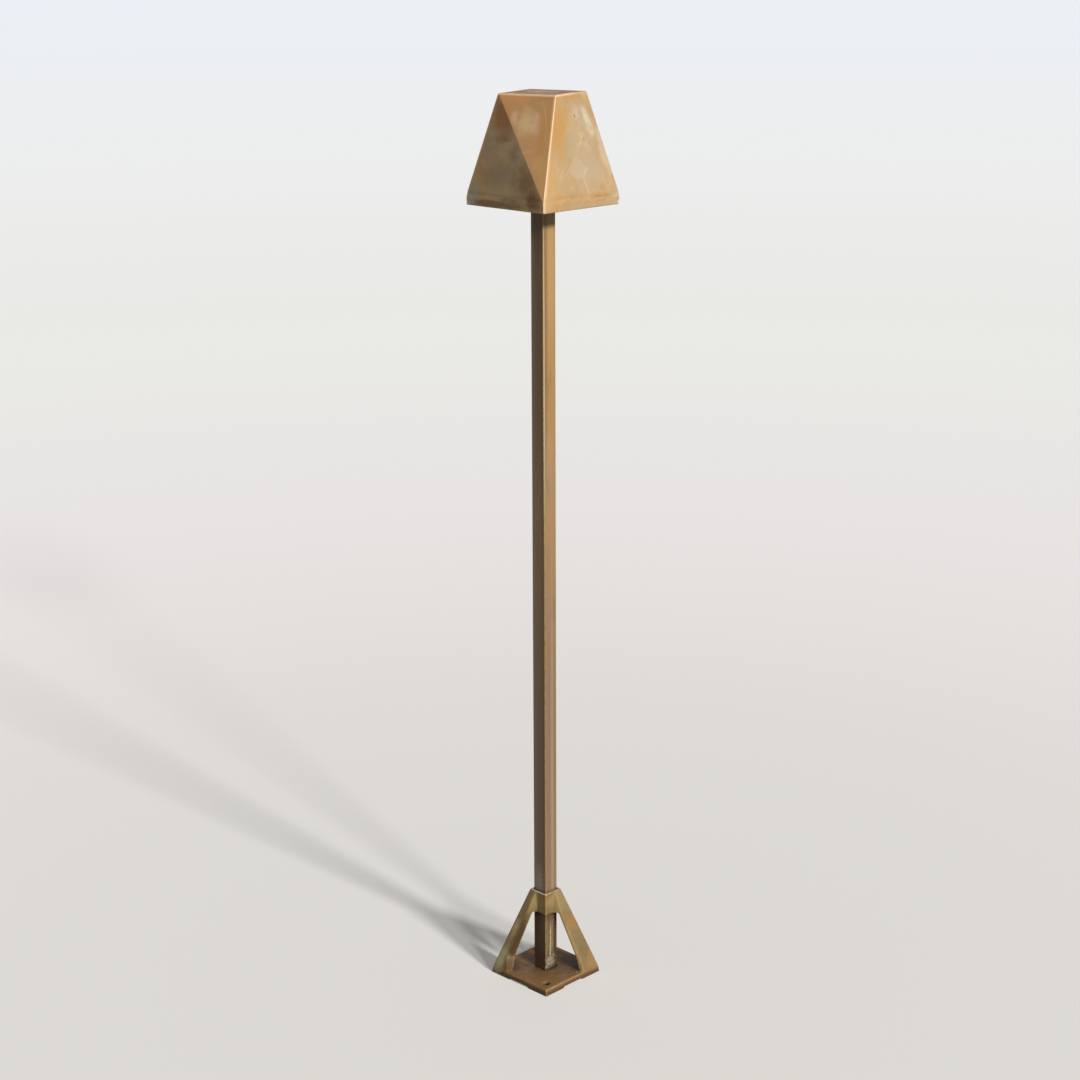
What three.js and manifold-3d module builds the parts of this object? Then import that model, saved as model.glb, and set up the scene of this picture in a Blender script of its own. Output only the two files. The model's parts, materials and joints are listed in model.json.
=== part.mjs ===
// Path light: a square post on a small two-legged cast base, under a square shade whose flat top is
// turned against its bottom. Millimetres, +Z up, origin at the middle of the base's underside.
// The sides of the base, post and shade's hem are square to X and Y. The base's legs stand at the
// corners (+X, +Y) and (-X, -Y), and its screw holes are near the other two corners.

import * as THREE from 'three';
import { mergeVertices } from 'three/addons/utils/BufferGeometryUtils.js';
import Module from 'manifold-3d';

const wasm = await Module();
wasm.setup();

// Clearances
const fitGap = 0.3; // between a piece and the hole, seat or thread it sits in
const cutOver = 1.2; // how far a cut runs past the face it opens

// Post: square tube
const postSide = 12.7;
const postWall = 1.2;
const postTop = 618;

// Base casting: slab
const slabSide = 60.8; // at the ground
const slabDraft = 0.9; // each side leans in by this much from ground to top
const slabHeight = 5.3;
const padRelief = 0.8; // hollow under the slab that leaves a pad at each corner
const padSide = 20.4;
const footSink = 2.3; // how deep the post's foot sits in the slab
const outletRadius = 4.2; // cable outlet under the post

// Base casting: screw holes, countersunk, on the diagonal without legs
const holeInset = 8.2; // from the slab's top edges to the hole's axis
const holeRadius = 1.9;
const holeHeadRadius = 3.35;
const holeHeadDepth = 1.5;

// Base casting: sleeve round the post
const sleeveTop = 72;
const sleeveLength = 18;
const sleeveWall = 1.8;

// Base casting: legs. A leg's section has a sharp outer corner, an outer face on each side of it
// and flat flanks. The flank that turns clockwise is wide and the other is slim, on both legs.
const ankleRise = 12.7; // top of the flare at the leg's foot, above the slab
const footWide = 11.4;
const footSlim = 10.5;
const footDepth = 15;
const ankleWide = 10.4;
const ankleSlim = 5.4;
const ankleDepth = 12.4;
const neckWide = 7.6;
const neckSlim = 5.3;
const neckDepth = 9.6;
const topWide = 4.5;
const topSlim = 4.6;
const webRoot = 7.4; // how far the web over the windows reaches in behind the sleeve's corner
const legRoot = 2; // how deep the leg's foot is rooted in the slab

// Grub screws that hold the post
const postScrewRadius = 1.5;
const postScrewOffset = 3.4; // beside the middle of the sleeve's face, clear of the leg
const hexShare = 0.5; // hex recess across its corners, as a share of the screw's diameter
const hexDepthShare = 0.45; // its depth, as a share of the screw's length

// Slotted screws: the slot and the head's sloping edge
const slotWidthShare = 0.5; // of the thread's radius
const slotDepthShare = 0.5; // of the head's height
const headSlopeShare = 0.33; // of the head's height

// Cable grommet in the outlet
const grommetWall = 0.8;
const grommetFlange = 1.5;
const grommetFlangeRadius = 4.75;

// Lamp holder: square stem in the post, round flange on it, spigot in the glass
const stemLength = 14;
const flangeRadius = 12.5;
const flangeHeight = 4;
const spigotHeight = 5;
const wireBoreRadius = 3.4;
const holderScrewRadius = 1.25;
const holderScrewHeadRadius = 2.3;
const holderScrewHead = 1.2;
const holderScrewBite = 1.2; // length inside the wall of the holder's stem
const holderScrewDrop = 6.5; // below the post's top

// Lamp socket: ceramic block with two screw ears
const socketWidth = 10;
const socketLength = 18.4;
const socketHeight = 9;
const socketCore = 7.6; // length of the tall middle
const earHeight = 4;
const pinSpacing = 4;
const pinRadius = 0.4;
const socketScrewRadius = 1.25;
const socketScrewHeadRadius = 1.9;
const socketScrewHead = 1.3;
const socketScrewBite = 3.2; // length inside the holder
const socketScrewInset = 2.5; // from the socket's end to the screw's axis
const contactRadius = 1.25;
const contactLength = 5.8;
const contactRoof = 1.4; // ceramic above a contact

// Plug-in lamp
const pinLength = 6.5;
const lampBaseWidth = 9.4;
const lampBaseDepth = 6.2;
const lampBaseHeight = 5;
const capsuleRadius = 5.2;
const capsuleLength = 19;

// Glass over the lamp, its ring, gaskets and cap
const glassWall = 2.2;
const glassLength = 48;
const gasketHeight = 1.1;
const ringWall = 1.8;
const ringHeight = 11.7;
const ringChamfer = 0.7;
const ringScrewRadius = 1;
const capOverhang = 0.6;
const capHeight = 2.8;
const capSpigot = 1.8;
const capStemRadius = 4.5;

// Shade: closed shell, upright hem, flat top turned against the bottom
const hemSide = 77.8;
const hemHeight = 7.2;
const shadeHeight = 79.2;
const shadeTopSide = 46.3;
const shadeTwist = THREE.MathUtils.degToRad(16);
const shadeWall = 1.5;
const hubHeight = 10.5; // boss under the shade's roof, which stands on the glass's cap
const hubWall = 3.2;
const stemHeadroom = 0.6; // between the cap's stem and the shade's roof
const shadeScrewRadius = 1.5;

// Leads in the post
const leadRadius = 0.75;
const leadBow = 0.9; // how far the slack leads stray from a straight line
const spliceRadius = 2;
const spliceLength = 16;
const spliceGrip = 5; // length of lead inside a splice
const spliceFoot = 42; // lower end of the lower splice
const spliceStagger = 22; // the second splice hangs this much higher
const leadSides = 8;
const leadSteps = 80;

// Counts of flats on round pieces
const roundSides = 48;
const smallSides = 24;
const hexSides = 6;

// Sizes that follow
const postHalf = postSide / 2;
const boreHalf = postHalf - postWall;
const slabHalf = slabSide / 2;
const slabTopHalf = slabHalf - slabDraft;
const footFloor = slabHeight - footSink;
const sleeveBoreHalf = postHalf + fitGap;
const sleeveHalf = sleeveBoreHalf + sleeveWall;
const sleeveBottom = sleeveTop - sleeveLength;
const flangeTop = postTop + flangeHeight;
const spigotTop = flangeTop + spigotHeight;
const glassBottom = flangeTop + gasketHeight;
const glassTop = glassBottom + glassLength;
const glassBoreRadius = flangeRadius - glassWall;
const spigotRadius = glassBoreRadius - fitGap;
const capBottom = glassTop + gasketHeight;
const capTop = capBottom + capHeight;
const socketTop = spigotTop + socketHeight;
const lampFoot = socketTop + fitGap;
const capsuleFoot = lampFoot + lampBaseHeight;
const roofUnder = capTop + hubHeight;
const shadeTop = roofUnder + shadeWall;
const shadeBottom = shadeTop - shadeHeight;
const hemTop = shadeBottom + hemHeight;
const hubBoreRadius = capStemRadius + fitGap;
const hubRadius = hubBoreRadius + hubWall;
const contactTop = socketTop - contactRoof - fitGap;
const contactBottom = contactTop - contactLength;

// Makes a closed solid of a closed geometry: shared vertices merged, empty faces dropped, faces out.
function solid(geometry) {
  const bare = geometry.clone();
  bare.deleteAttribute('normal');
  bare.deleteAttribute('uv');
  const merged = mergeVertices(bare);
  const position = merged.attributes.position.array;
  const index = merged.index.array;
  const corners = [];
  let volume = 0;
  for (let i = 0; i < index.length; i += 3) {
    const [a, b, c] = [index[i], index[i + 1], index[i + 2]];
    if (a === b || b === c || c === a) continue;
    corners.push(a, b, c);
    const [p, q, r] = [a, b, c].map((k) => new THREE.Vector3().fromArray(position, k * 3));
    volume += p.dot(q.cross(r));
  }
  if (volume < 0) corners.reverse();
  return new wasm.Manifold(new wasm.Mesh({
    numProp: 3,
    vertProperties: new Float32Array(position),
    triVerts: new Uint32Array(corners),
  }));
}

// Box between two corners.
function block(low, high) {
  const size = high.map((value, k) => value - low[k]);
  const middle = high.map((value, k) => (value + low[k]) / 2);
  return solid(new THREE.BoxGeometry(...size).translate(...middle));
}

// Square column round the Z axis.
function column(half, bottom, top) {
  return block([-half, -half, bottom], [half, half, top]);
}

// Turned piece round the Z axis: its outline is a list of [radius, height].
function turned(outline, sides = roundSides) {
  const points = outline.map(([radius, height]) => new THREE.Vector2(radius, height));
  if (outline[0][0] > 0) points.push(points[0].clone());
  return solid(new THREE.LatheGeometry(points, sides).rotateX(Math.PI / 2));
}

// Round rod, and round tube, standing on the Z axis.
function rod(radius, bottom, top, sides = roundSides) {
  return turned([[0, bottom], [radius, bottom], [radius, top], [0, top]], sides);
}

function tube(outer, inner, bottom, top, sides = roundSides) {
  return turned([[inner, bottom], [outer, bottom], [outer, top], [inner, top]], sides);
}

// Stack of outlines with the same number of corners. The faces between two outlines are split from
// each upper corner to the next lower one.
function stack(levels) {
  const count = levels[0].outline.length;
  const position = [];
  for (const { outline, height } of levels) {
    for (const [x, y] of outline) position.push(x, y, height);
  }
  const index = [];
  const last = (levels.length - 1) * count;
  for (let k = 1; k < count - 1; k += 1) {
    index.push(0, k + 1, k);
    index.push(last, last + k, last + k + 1);
  }
  for (let level = 0; level < last; level += count) {
    for (let k = 0; k < count; k += 1) {
      const next = (k + 1) % count;
      const [low, lowNext] = [level + k, level + next];
      const [high, highNext] = [low + count, lowNext + count];
      index.push(low, lowNext, high);
      index.push(lowNext, highNext, high);
    }
  }
  const geometry = new THREE.BufferGeometry();
  geometry.setAttribute('position', new THREE.Float32BufferAttribute(position, 3));
  geometry.setIndex(index);
  return solid(geometry);
}

// Square outline round the Z axis, turned by an angle.
function square(half, turn = 0) {
  return [0, 1, 2, 3].map((k) => {
    const angle = turn + Math.PI * (k / 2 + 1 / 4);
    const radius = half * Math.SQRT2;
    return [radius * Math.cos(angle), radius * Math.sin(angle)];
  });
}

// Lays a piece that stands on the Z axis along a direction in the XY plane, given by its angle.
function lay(piece, angle) {
  return piece.rotate([0, 90, THREE.MathUtils.radToDeg(angle)]);
}

// Headless screw along the Z axis with a hex recess in its far end.
function grubScrew(radius, near, far) {
  const floor = far - (far - near) * hexDepthShare;
  const recess = rod(radius * hexShare, floor, far + cutOver, hexSides);
  return rod(radius, near, far, smallSides).subtract(recess);
}

// Screw along the Z axis: thread from tip to seat and a low head with a slot beyond the seat.
function headedScrew(radius, headRadius, headHeight, tip, seat) {
  const top = seat + headHeight;
  const slope = headHeight * headSlopeShare;
  const slotHalf = radius * slotWidthShare / 2;
  const slotFloor = top - headHeight * slotDepthShare;
  const slot = block([-headRadius, -slotHalf, slotFloor], [headRadius, slotHalf, top + cutOver]);
  const outline = [
    [0, tip], [radius, tip], [radius, seat], [headRadius, seat],
    [headRadius, top - slope], [headRadius - slope, top], [0, top],
  ];
  return turned(outline, smallSides).subtract(slot);
}

// Half diagonal of the leg's outer corner at a height: a straight line from slab to sleeve.
function legCorner(height) {
  const share = (height - slabHeight) / (sleeveTop - slabHeight);
  return THREE.MathUtils.lerp(slabTopHalf, sleeveHalf, share) * Math.SQRT2;
}

// Section of a leg, its outer corner at the given distance along +X.
function legSection(corner, wide, slim, inner) {
  return [[corner, 0], [corner - slim, slim], [inner, slim], [inner, -wide], [corner - wide, -wide]];
}

const legTurns = [45, 225];

function leg() {
  const ankle = slabHeight + ankleRise;
  const rows = [
    { height: slabHeight, wide: footWide, slim: footSlim, depth: footDepth },
    { height: ankle, wide: ankleWide, slim: ankleSlim, depth: ankleDepth },
    { height: sleeveBottom, wide: neckWide, slim: neckSlim, depth: neckDepth },
  ];
  const shin = rows.map(({ height, wide, slim, depth }) => {
    const corner = legCorner(height);
    return { height, outline: legSection(corner, wide, slim, corner - depth) };
  });
  const root = { height: slabHeight - legRoot, outline: shin[0].outline };
  const inner = legCorner(sleeveTop) - webRoot;
  const web = [
    { height: sleeveBottom, outline: legSection(legCorner(sleeveBottom), neckWide, neckSlim, inner) },
    { height: sleeveTop, outline: legSection(legCorner(sleeveTop), topWide, topSlim, inner) },
  ];
  return stack([root, ...shin]).add(stack(web));
}

// Countersunk hole on the Z axis.
function screwHole() {
  const seat = slabHeight - holeHeadDepth;
  const flare = (holeHeadRadius - holeRadius) / holeHeadDepth;
  return turned([
    [0, -cutOver], [holeRadius, -cutOver], [holeRadius, seat], [holeHeadRadius, slabHeight],
    [holeHeadRadius + flare * cutOver, slabHeight + cutOver], [0, slabHeight + cutOver],
  ], smallSides);
}

// Threaded hole for a post screw and the screw's own middle line share this place.
const postScrewHeight = sleeveTop - sleeveLength / 2;
const postScrewPlaces = [
  { turn: Math.PI, shift: [0, postScrewOffset, postScrewHeight] },
  { turn: Math.PI / 2, shift: [-postScrewOffset, 0, postScrewHeight] },
];

function baseCasting() {
  const slab = stack([
    { height: 0, outline: square(slabHalf) },
    { height: slabHeight, outline: square(slabTopHalf) },
  ]);
  const channelHalf = slabHalf - padSide;
  const reach = slabHalf + cutOver;
  const channelX = block([-reach, -channelHalf, -cutOver], [reach, channelHalf, padRelief]);
  const channelY = block([-channelHalf, -reach, -cutOver], [channelHalf, reach, padRelief]);
  const sleeve = column(sleeveHalf, sleeveBottom, sleeveTop);
  let casting = slab.add(sleeve);
  for (const turn of legTurns) casting = casting.add(leg().rotate([0, 0, turn]));
  casting = casting.subtract(channelX).subtract(channelY);
  casting = casting.subtract(column(sleeveBoreHalf, footFloor, sleeveTop + cutOver));
  casting = casting.subtract(rod(outletRadius, -cutOver, footFloor + cutOver, smallSides));
  const holeAt = slabTopHalf - holeInset;
  for (const x of [holeAt, -holeAt]) casting = casting.subtract(screwHole().translate([x, -x, 0]));
  for (const { turn, shift } of postScrewPlaces) {
    const hole = rod(postScrewRadius + fitGap, 0, sleeveHalf + cutOver, smallSides);
    casting = casting.subtract(lay(hole, turn).translate(shift));
  }
  return casting;
}

function postScrew({ turn, shift }) {
  return lay(grubScrew(postScrewRadius, postHalf + fitGap, sleeveHalf), turn).translate(shift);
}

// Screws through the post's two back faces into the lamp holder.
const holderScrewHeight = postTop - holderScrewDrop;
const holderScrewTurns = [Math.PI, Math.PI / 2];

function postTube() {
  let post = column(postHalf, footFloor, postTop);
  post = post.subtract(column(boreHalf, footFloor - cutOver, postTop + cutOver));
  for (const turn of holderScrewTurns) {
    const hole = rod(holderScrewRadius + fitGap, 0, postHalf + cutOver, smallSides);
    post = post.subtract(lay(hole, turn).translate([0, 0, holderScrewHeight]));
  }
  return post;
}

function cableGrommet() {
  const outer = outletRadius - fitGap;
  const inner = outer - grommetWall;
  const bottom = padRelief;
  const top = footFloor + grommetFlange;
  return turned([
    [inner, bottom], [outer, bottom], [outer, footFloor], [grommetFlangeRadius, footFloor],
    [grommetFlangeRadius, top], [inner, top],
  ]);
}

function lampHolder() {
  const stem = column(boreHalf - fitGap, postTop - stemLength, postTop);
  let holder = stem.add(rod(flangeRadius, postTop, flangeTop)).add(rod(spigotRadius, postTop, spigotTop));
  holder = holder.subtract(rod(wireBoreRadius, postTop - stemLength - cutOver, spigotTop + cutOver));
  for (const turn of holderScrewTurns) {
    const hole = rod(holderScrewRadius + fitGap, 0, postHalf, smallSides);
    holder = holder.subtract(lay(hole, turn).translate([0, 0, holderScrewHeight]));
  }
  for (const y of socketScrewPlaces) {
    const depth = socketScrewBite + fitGap;
    const hole = rod(socketScrewRadius + fitGap, spigotTop - depth, spigotTop + cutOver, smallSides);
    holder = holder.subtract(hole.translate([0, y, 0]));
  }
  return holder;
}

function holderScrew(turn) {
  const tip = boreHalf - fitGap - holderScrewBite;
  const screw = headedScrew(holderScrewRadius, holderScrewHeadRadius, holderScrewHead, tip, postHalf);
  return lay(screw, turn).translate([0, 0, holderScrewHeight]);
}

// Socket: pins stand along X, screws along Y.
const pinPlaces = [-pinSpacing / 2, pinSpacing / 2];
const socketScrewAt = socketLength / 2 - socketScrewInset;
const socketScrewPlaces = [-socketScrewAt, socketScrewAt];

function earOutline() {
  const radius = socketWidth / 2;
  const straight = socketLength / 2 - radius;
  const shape = new THREE.Shape();
  shape.moveTo(radius, -straight);
  shape.lineTo(radius, straight);
  shape.absarc(0, straight, radius, 0, Math.PI);
  shape.lineTo(-radius, -straight);
  shape.absarc(0, -straight, radius, Math.PI, Math.PI * 2);
  return shape;
}

function socketBody() {
  const ears = new THREE.ExtrudeGeometry(earOutline(), { depth: earHeight, bevelEnabled: false });
  const core = [socketWidth / 2, socketCore / 2];
  const middle = block([-core[0], -core[1], spigotTop], [core[0], core[1], socketTop]);
  let body = solid(ears.translate(0, 0, spigotTop)).add(middle);
  for (const x of pinPlaces) {
    const entry = rod(pinRadius + fitGap, spigotTop - cutOver, socketTop + cutOver, smallSides);
    const seat = rod(contactRadius + fitGap, spigotTop - cutOver, socketTop - contactRoof, smallSides);
    body = body.subtract(entry.translate([x, 0, 0])).subtract(seat.translate([x, 0, 0]));
  }
  for (const y of socketScrewPlaces) {
    const top = spigotTop + earHeight;
    const hole = rod(socketScrewRadius + fitGap, spigotTop - cutOver, top + cutOver, smallSides);
    body = body.subtract(hole.translate([0, y, 0]));
  }
  return body;
}

function socketScrew(y) {
  const seat = spigotTop + earHeight;
  const tip = spigotTop - socketScrewBite;
  const screw = headedScrew(socketScrewRadius, socketScrewHeadRadius, socketScrewHead, tip, seat);
  return screw.translate([0, y, 0]);
}

function socketContact(x) {
  const contact = tube(contactRadius, pinRadius + fitGap, contactBottom, contactTop, smallSides);
  return contact.translate([x, 0, 0]);
}

// Lead from under its contact, down the bore of the post, to its splice. The points are chosen by
// hand: sideways place as a share of the bow, height as a share of the lead's drop.
const leadRouteShares = [
  { side: 0, across: 0, drop: 0 },
  { side: 0, across: 0, drop: 0.04 },
  { side: 0.3, across: 0.6, drop: 0.16 },
  { side: 0.8, across: 1, drop: 0.33 },
  { side: 0.4, across: -0.4, drop: 0.52 },
  { side: 0.2, across: -1, drop: 0.7 },
  { side: 0.5, across: -0.3, drop: 0.88 },
  { side: 0.5, across: 0, drop: 0.97 },
  { side: 0.5, across: 0, drop: 1 },
];

function splicePlace(k) {
  const bottom = spliceFoot + k * spliceStagger;
  const side = pinSpacing / 2 + leadBow / 2;
  return { x: k === 0 ? -side : side, bottom, top: bottom + spliceLength };
}

function lead(k) {
  const direction = k === 0 ? -1 : 1;
  const top = contactBottom - fitGap;
  const bottom = splicePlace(k).top - spliceGrip;
  const points = leadRouteShares.map(({ side, across, drop }) => new THREE.Vector3(
    direction * (pinSpacing / 2 + leadBow * side),
    leadBow * across,
    THREE.MathUtils.lerp(top, bottom, drop),
  ));
  const section = new THREE.Shape();
  section.absarc(0, 0, leadRadius, 0, Math.PI * 2);
  const path = new THREE.CatmullRomCurve3(points);
  return solid(new THREE.ExtrudeGeometry(section, {
    steps: leadSteps, extrudePath: path, curveSegments: leadSides / 2, bevelEnabled: false,
  }));
}

function splice(k) {
  const { x, bottom, top } = splicePlace(k);
  return tube(spliceRadius, leadRadius + fitGap, bottom, top, smallSides).translate([x, 0, 0]);
}

// Plug-in lamp: two pins, a flat base and a capsule with a round end.
function lampPin(x) {
  return rod(pinRadius, lampFoot - pinLength, lampFoot, smallSides / 2).translate([x, 0, 0]);
}

function lampBase() {
  const half = [lampBaseWidth / 2, lampBaseDepth / 2];
  return block([-half[0], -half[1], lampFoot], [half[0], half[1], capsuleFoot]);
}

function lampCapsule() {
  const shoulder = capsuleFoot + capsuleLength - capsuleRadius;
  const outline = [[0, capsuleFoot], [capsuleRadius, capsuleFoot], [capsuleRadius, shoulder]];
  const arcSteps = smallSides / 4;
  for (let k = 1; k < arcSteps; k += 1) {
    const angle = (Math.PI / 2) * (k / arcSteps);
    outline.push([capsuleRadius * Math.cos(angle), shoulder + capsuleRadius * Math.sin(angle)]);
  }
  outline.push([0, shoulder + capsuleRadius]);
  return turned(outline, smallSides);
}

// Glass tube between two gaskets, the ring at its foot and the cap on its top.
function gasket(bottom) {
  return tube(flangeRadius, glassBoreRadius, bottom, bottom + gasketHeight);
}

function lensTube() {
  return tube(flangeRadius, glassBoreRadius, glassBottom, glassTop);
}

const ringInner = flangeRadius + fitGap;
const ringOuter = ringInner + ringWall;
const ringBottom = postTop + fitGap;
const ringTop = ringBottom + ringHeight;
const ringScrewHeight = postTop + flangeHeight / 2;
const ringScrewTurns = [0, Math.PI];

function lensRing() {
  let ring = turned([
    [ringInner, ringBottom], [ringOuter - ringChamfer, ringBottom], [ringOuter, ringBottom + ringChamfer],
    [ringOuter, ringTop - ringChamfer], [ringOuter - ringChamfer, ringTop], [ringInner, ringTop],
  ]);
  for (const turn of ringScrewTurns) {
    const hole = rod(ringScrewRadius + fitGap, 0, ringOuter + cutOver, smallSides);
    ring = ring.subtract(lay(hole, turn).translate([0, 0, ringScrewHeight]));
  }
  return ring;
}

function ringScrew(turn) {
  const screw = grubScrew(ringScrewRadius, ringInner, ringOuter - fitGap / 2);
  return lay(screw, turn).translate([0, 0, ringScrewHeight]);
}

function lensCap() {
  const rim = flangeRadius + capOverhang;
  const spigot = glassTop - capSpigot;
  const stemTop = roofUnder - stemHeadroom;
  return turned([
    [0, spigot], [spigotRadius, spigot], [spigotRadius, capBottom], [rim, capBottom],
    [rim, capTop], [capStemRadius, capTop], [capStemRadius, stemTop], [0, stemTop],
  ]);
}

// Shade: the shell's inside follows its outside, one wall further in.
function shadeShell() {
  const outside = stack([
    { height: shadeBottom, outline: square(hemSide / 2) },
    { height: hemTop, outline: square(hemSide / 2) },
    { height: shadeTop, outline: square(shadeTopSide / 2, shadeTwist) },
  ]);
  const hemHalf = hemSide / 2 - shadeWall;
  const inside = stack([
    { height: shadeBottom - cutOver, outline: square(hemHalf) },
    { height: hemTop, outline: square(hemHalf) },
    { height: roofUnder, outline: square(shadeTopSide / 2 - shadeWall, shadeTwist) },
  ]);
  return outside.subtract(inside);
}

const shadeScrewHeight = (capTop + roofUnder) / 2;
const shadeScrewTurns = [Math.PI / 2, -Math.PI / 2];

function shadeHub() {
  let hub = tube(hubRadius, hubBoreRadius, capTop, roofUnder);
  for (const turn of shadeScrewTurns) {
    const hole = rod(shadeScrewRadius + fitGap, 0, hubRadius + cutOver, smallSides);
    hub = hub.subtract(lay(hole, turn).translate([0, 0, shadeScrewHeight]));
  }
  return hub;
}

function shadeScrew(turn) {
  const screw = grubScrew(shadeScrewRadius, hubBoreRadius, hubRadius - fitGap);
  return lay(screw, turn).translate([0, 0, shadeScrewHeight]);
}

// Finishes
const finish = {
  castBrass: { color: '#96703f', roughness: 0.5, metalness: 0.9 },
  postBrass: { color: '#a07a4b', roughness: 0.42, metalness: 0.9 },
  shadeBrass: { color: '#b28f5f', roughness: 0.45, metalness: 0.9 },
  turnedBrass: { color: '#b8975a', roughness: 0.35, metalness: 1 },
  steel: { color: '#8d8f92', roughness: 0.35, metalness: 1 },
  nickel: { color: '#c2bfb6', roughness: 0.25, metalness: 1 },
  rubber: { color: '#1d1d1e', roughness: 0.8, metalness: 0 },
  silicone: { color: '#b8b4aa', roughness: 0.6, metalness: 0 },
  ceramic: { color: '#ece8dd', roughness: 0.45, metalness: 0 },
  frosted: { color: '#e9efee', roughness: 0.55, metalness: 0, transparent: true, opacity: 0.6 },
  capsule: { color: '#f2e7c4', roughness: 0.5, metalness: 0 },
  leadRed: { color: '#8e2f28', roughness: 0.55, metalness: 0 },
  leadBlack: { color: '#232426', roughness: 0.55, metalness: 0 },
  nylon: { color: '#c9c6bb', roughness: 0.5, metalness: 0 },
};

const light = new THREE.Group();
const head = new THREE.Group();
const shade = new THREE.Group();
const lamp = new THREE.Group();
light.add(head, shade, lamp);

// Adds a named piece to a group.
function add(group, name, piece, look) {
  const { vertProperties, triVerts } = piece.getMesh();
  const geometry = new THREE.BufferGeometry();
  geometry.setAttribute('position', new THREE.BufferAttribute(vertProperties, 3));
  geometry.setIndex(new THREE.BufferAttribute(triVerts, 1));
  geometry.computeVertexNormals();
  const material = new THREE.MeshStandardMaterial({ ...look, flatShading: true });
  const mesh = new THREE.Mesh(geometry, material);
  mesh.name = name;
  group.add(mesh);
}

// Base and post
add(light, 'base_casting', baseCasting(), finish.castBrass);
postScrewPlaces.forEach((place, k) => add(light, `post_screw_${k + 1}`, postScrew(place), finish.steel));
add(light, 'cable_grommet', cableGrommet(), finish.rubber);
add(light, 'post_tube', postTube(), finish.postBrass);

// Lamp holder, socket and leads
add(light, 'lamp_holder', lampHolder(), finish.turnedBrass);
holderScrewTurns.forEach((turn, k) => add(light, `holder_screw_${k + 1}`, holderScrew(turn), finish.steel));
add(light, 'lens_gasket', gasket(flangeTop), finish.silicone);
add(light, 'socket_body', socketBody(), finish.ceramic);
socketScrewPlaces.forEach((y, k) => add(light, `socket_screw_${k + 1}`, socketScrew(y), finish.steel));
pinPlaces.forEach((x, k) => add(light, `socket_contact_${k + 1}`, socketContact(x), finish.nickel));
[finish.leadBlack, finish.leadRed].forEach((look, k) => {
  add(light, `lead_${k + 1}`, lead(k), look);
  add(light, `splice_${k + 1}`, splice(k), finish.nylon);
});

// Lamp
pinPlaces.forEach((x, k) => add(lamp, `lamp_pin_${k + 1}`, lampPin(x), finish.nickel));
add(lamp, 'lamp_base', lampBase(), finish.ceramic);
add(lamp, 'lamp_capsule', lampCapsule(), finish.capsule);

// Glass with its ring and cap
add(head, 'lens_tube', lensTube(), finish.frosted);
add(head, 'lens_ring', lensRing(), finish.turnedBrass);
ringScrewTurns.forEach((turn, k) => add(head, `ring_screw_${k + 1}`, ringScrew(turn), finish.steel));
add(head, 'cap_gasket', gasket(glassTop), finish.silicone);
add(head, 'lens_cap', lensCap(), finish.turnedBrass);

// Shade
add(shade, 'shade_shell', shadeShell(), finish.shadeBrass);
add(shade, 'shade_hub', shadeHub(), finish.turnedBrass);
shadeScrewTurns.forEach((turn, k) => add(shade, `shade_screw_${k + 1}`, shadeScrew(turn), finish.steel));

export default light;
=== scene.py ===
import json
import math

import bmesh
import bpy
from mathutils import Matrix, Vector
from mathutils.bvhtree import BVHTree


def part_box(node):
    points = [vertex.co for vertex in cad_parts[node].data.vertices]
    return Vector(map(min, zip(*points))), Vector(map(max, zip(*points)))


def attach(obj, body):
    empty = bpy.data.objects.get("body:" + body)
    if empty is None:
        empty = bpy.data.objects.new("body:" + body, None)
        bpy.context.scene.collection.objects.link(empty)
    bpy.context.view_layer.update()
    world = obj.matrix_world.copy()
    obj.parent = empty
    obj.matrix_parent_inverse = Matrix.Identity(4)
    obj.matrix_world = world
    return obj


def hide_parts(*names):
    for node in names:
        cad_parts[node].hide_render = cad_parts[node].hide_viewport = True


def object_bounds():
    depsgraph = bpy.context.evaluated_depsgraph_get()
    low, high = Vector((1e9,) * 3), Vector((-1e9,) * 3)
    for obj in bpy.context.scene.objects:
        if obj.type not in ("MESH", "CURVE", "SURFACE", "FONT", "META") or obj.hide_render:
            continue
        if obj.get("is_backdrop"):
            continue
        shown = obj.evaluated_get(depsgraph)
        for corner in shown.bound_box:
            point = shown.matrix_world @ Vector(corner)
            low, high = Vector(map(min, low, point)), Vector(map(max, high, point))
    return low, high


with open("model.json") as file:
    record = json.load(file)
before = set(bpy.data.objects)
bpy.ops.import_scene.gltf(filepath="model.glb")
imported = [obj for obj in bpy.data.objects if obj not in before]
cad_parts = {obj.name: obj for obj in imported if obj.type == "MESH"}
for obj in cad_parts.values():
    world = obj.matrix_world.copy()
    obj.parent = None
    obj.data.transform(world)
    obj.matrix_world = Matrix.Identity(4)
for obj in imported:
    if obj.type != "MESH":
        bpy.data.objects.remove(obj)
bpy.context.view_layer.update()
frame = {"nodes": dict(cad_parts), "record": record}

MM = 0.001
nodes = frame["nodes"]
record = frame["record"]
body_of = {n: body for body, names in record["behaviour"]["bodies"].items() for n in names}
slot_of = {s["node"]: s["material_slot"] for s in record["subparts"]}


# Small tools

def srgb(code, alpha=1.0):
    """A hex colour as it is seen on a screen, as linear red, green, blue and alpha."""
    parts = [int(code[i:i + 2], 16) / 255 for i in (1, 3, 5)]
    return [c / 12.92 if c <= 0.04045 else ((c + 0.055) / 1.055) ** 2.4 for c in parts] + [alpha]


def socket(sockets, key):
    """A node's socket by its number, or the one in use that has this name."""
    if isinstance(key, int):
        return sockets[key]
    return next(s for s in sockets if s.name == key and s.enabled)


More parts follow.
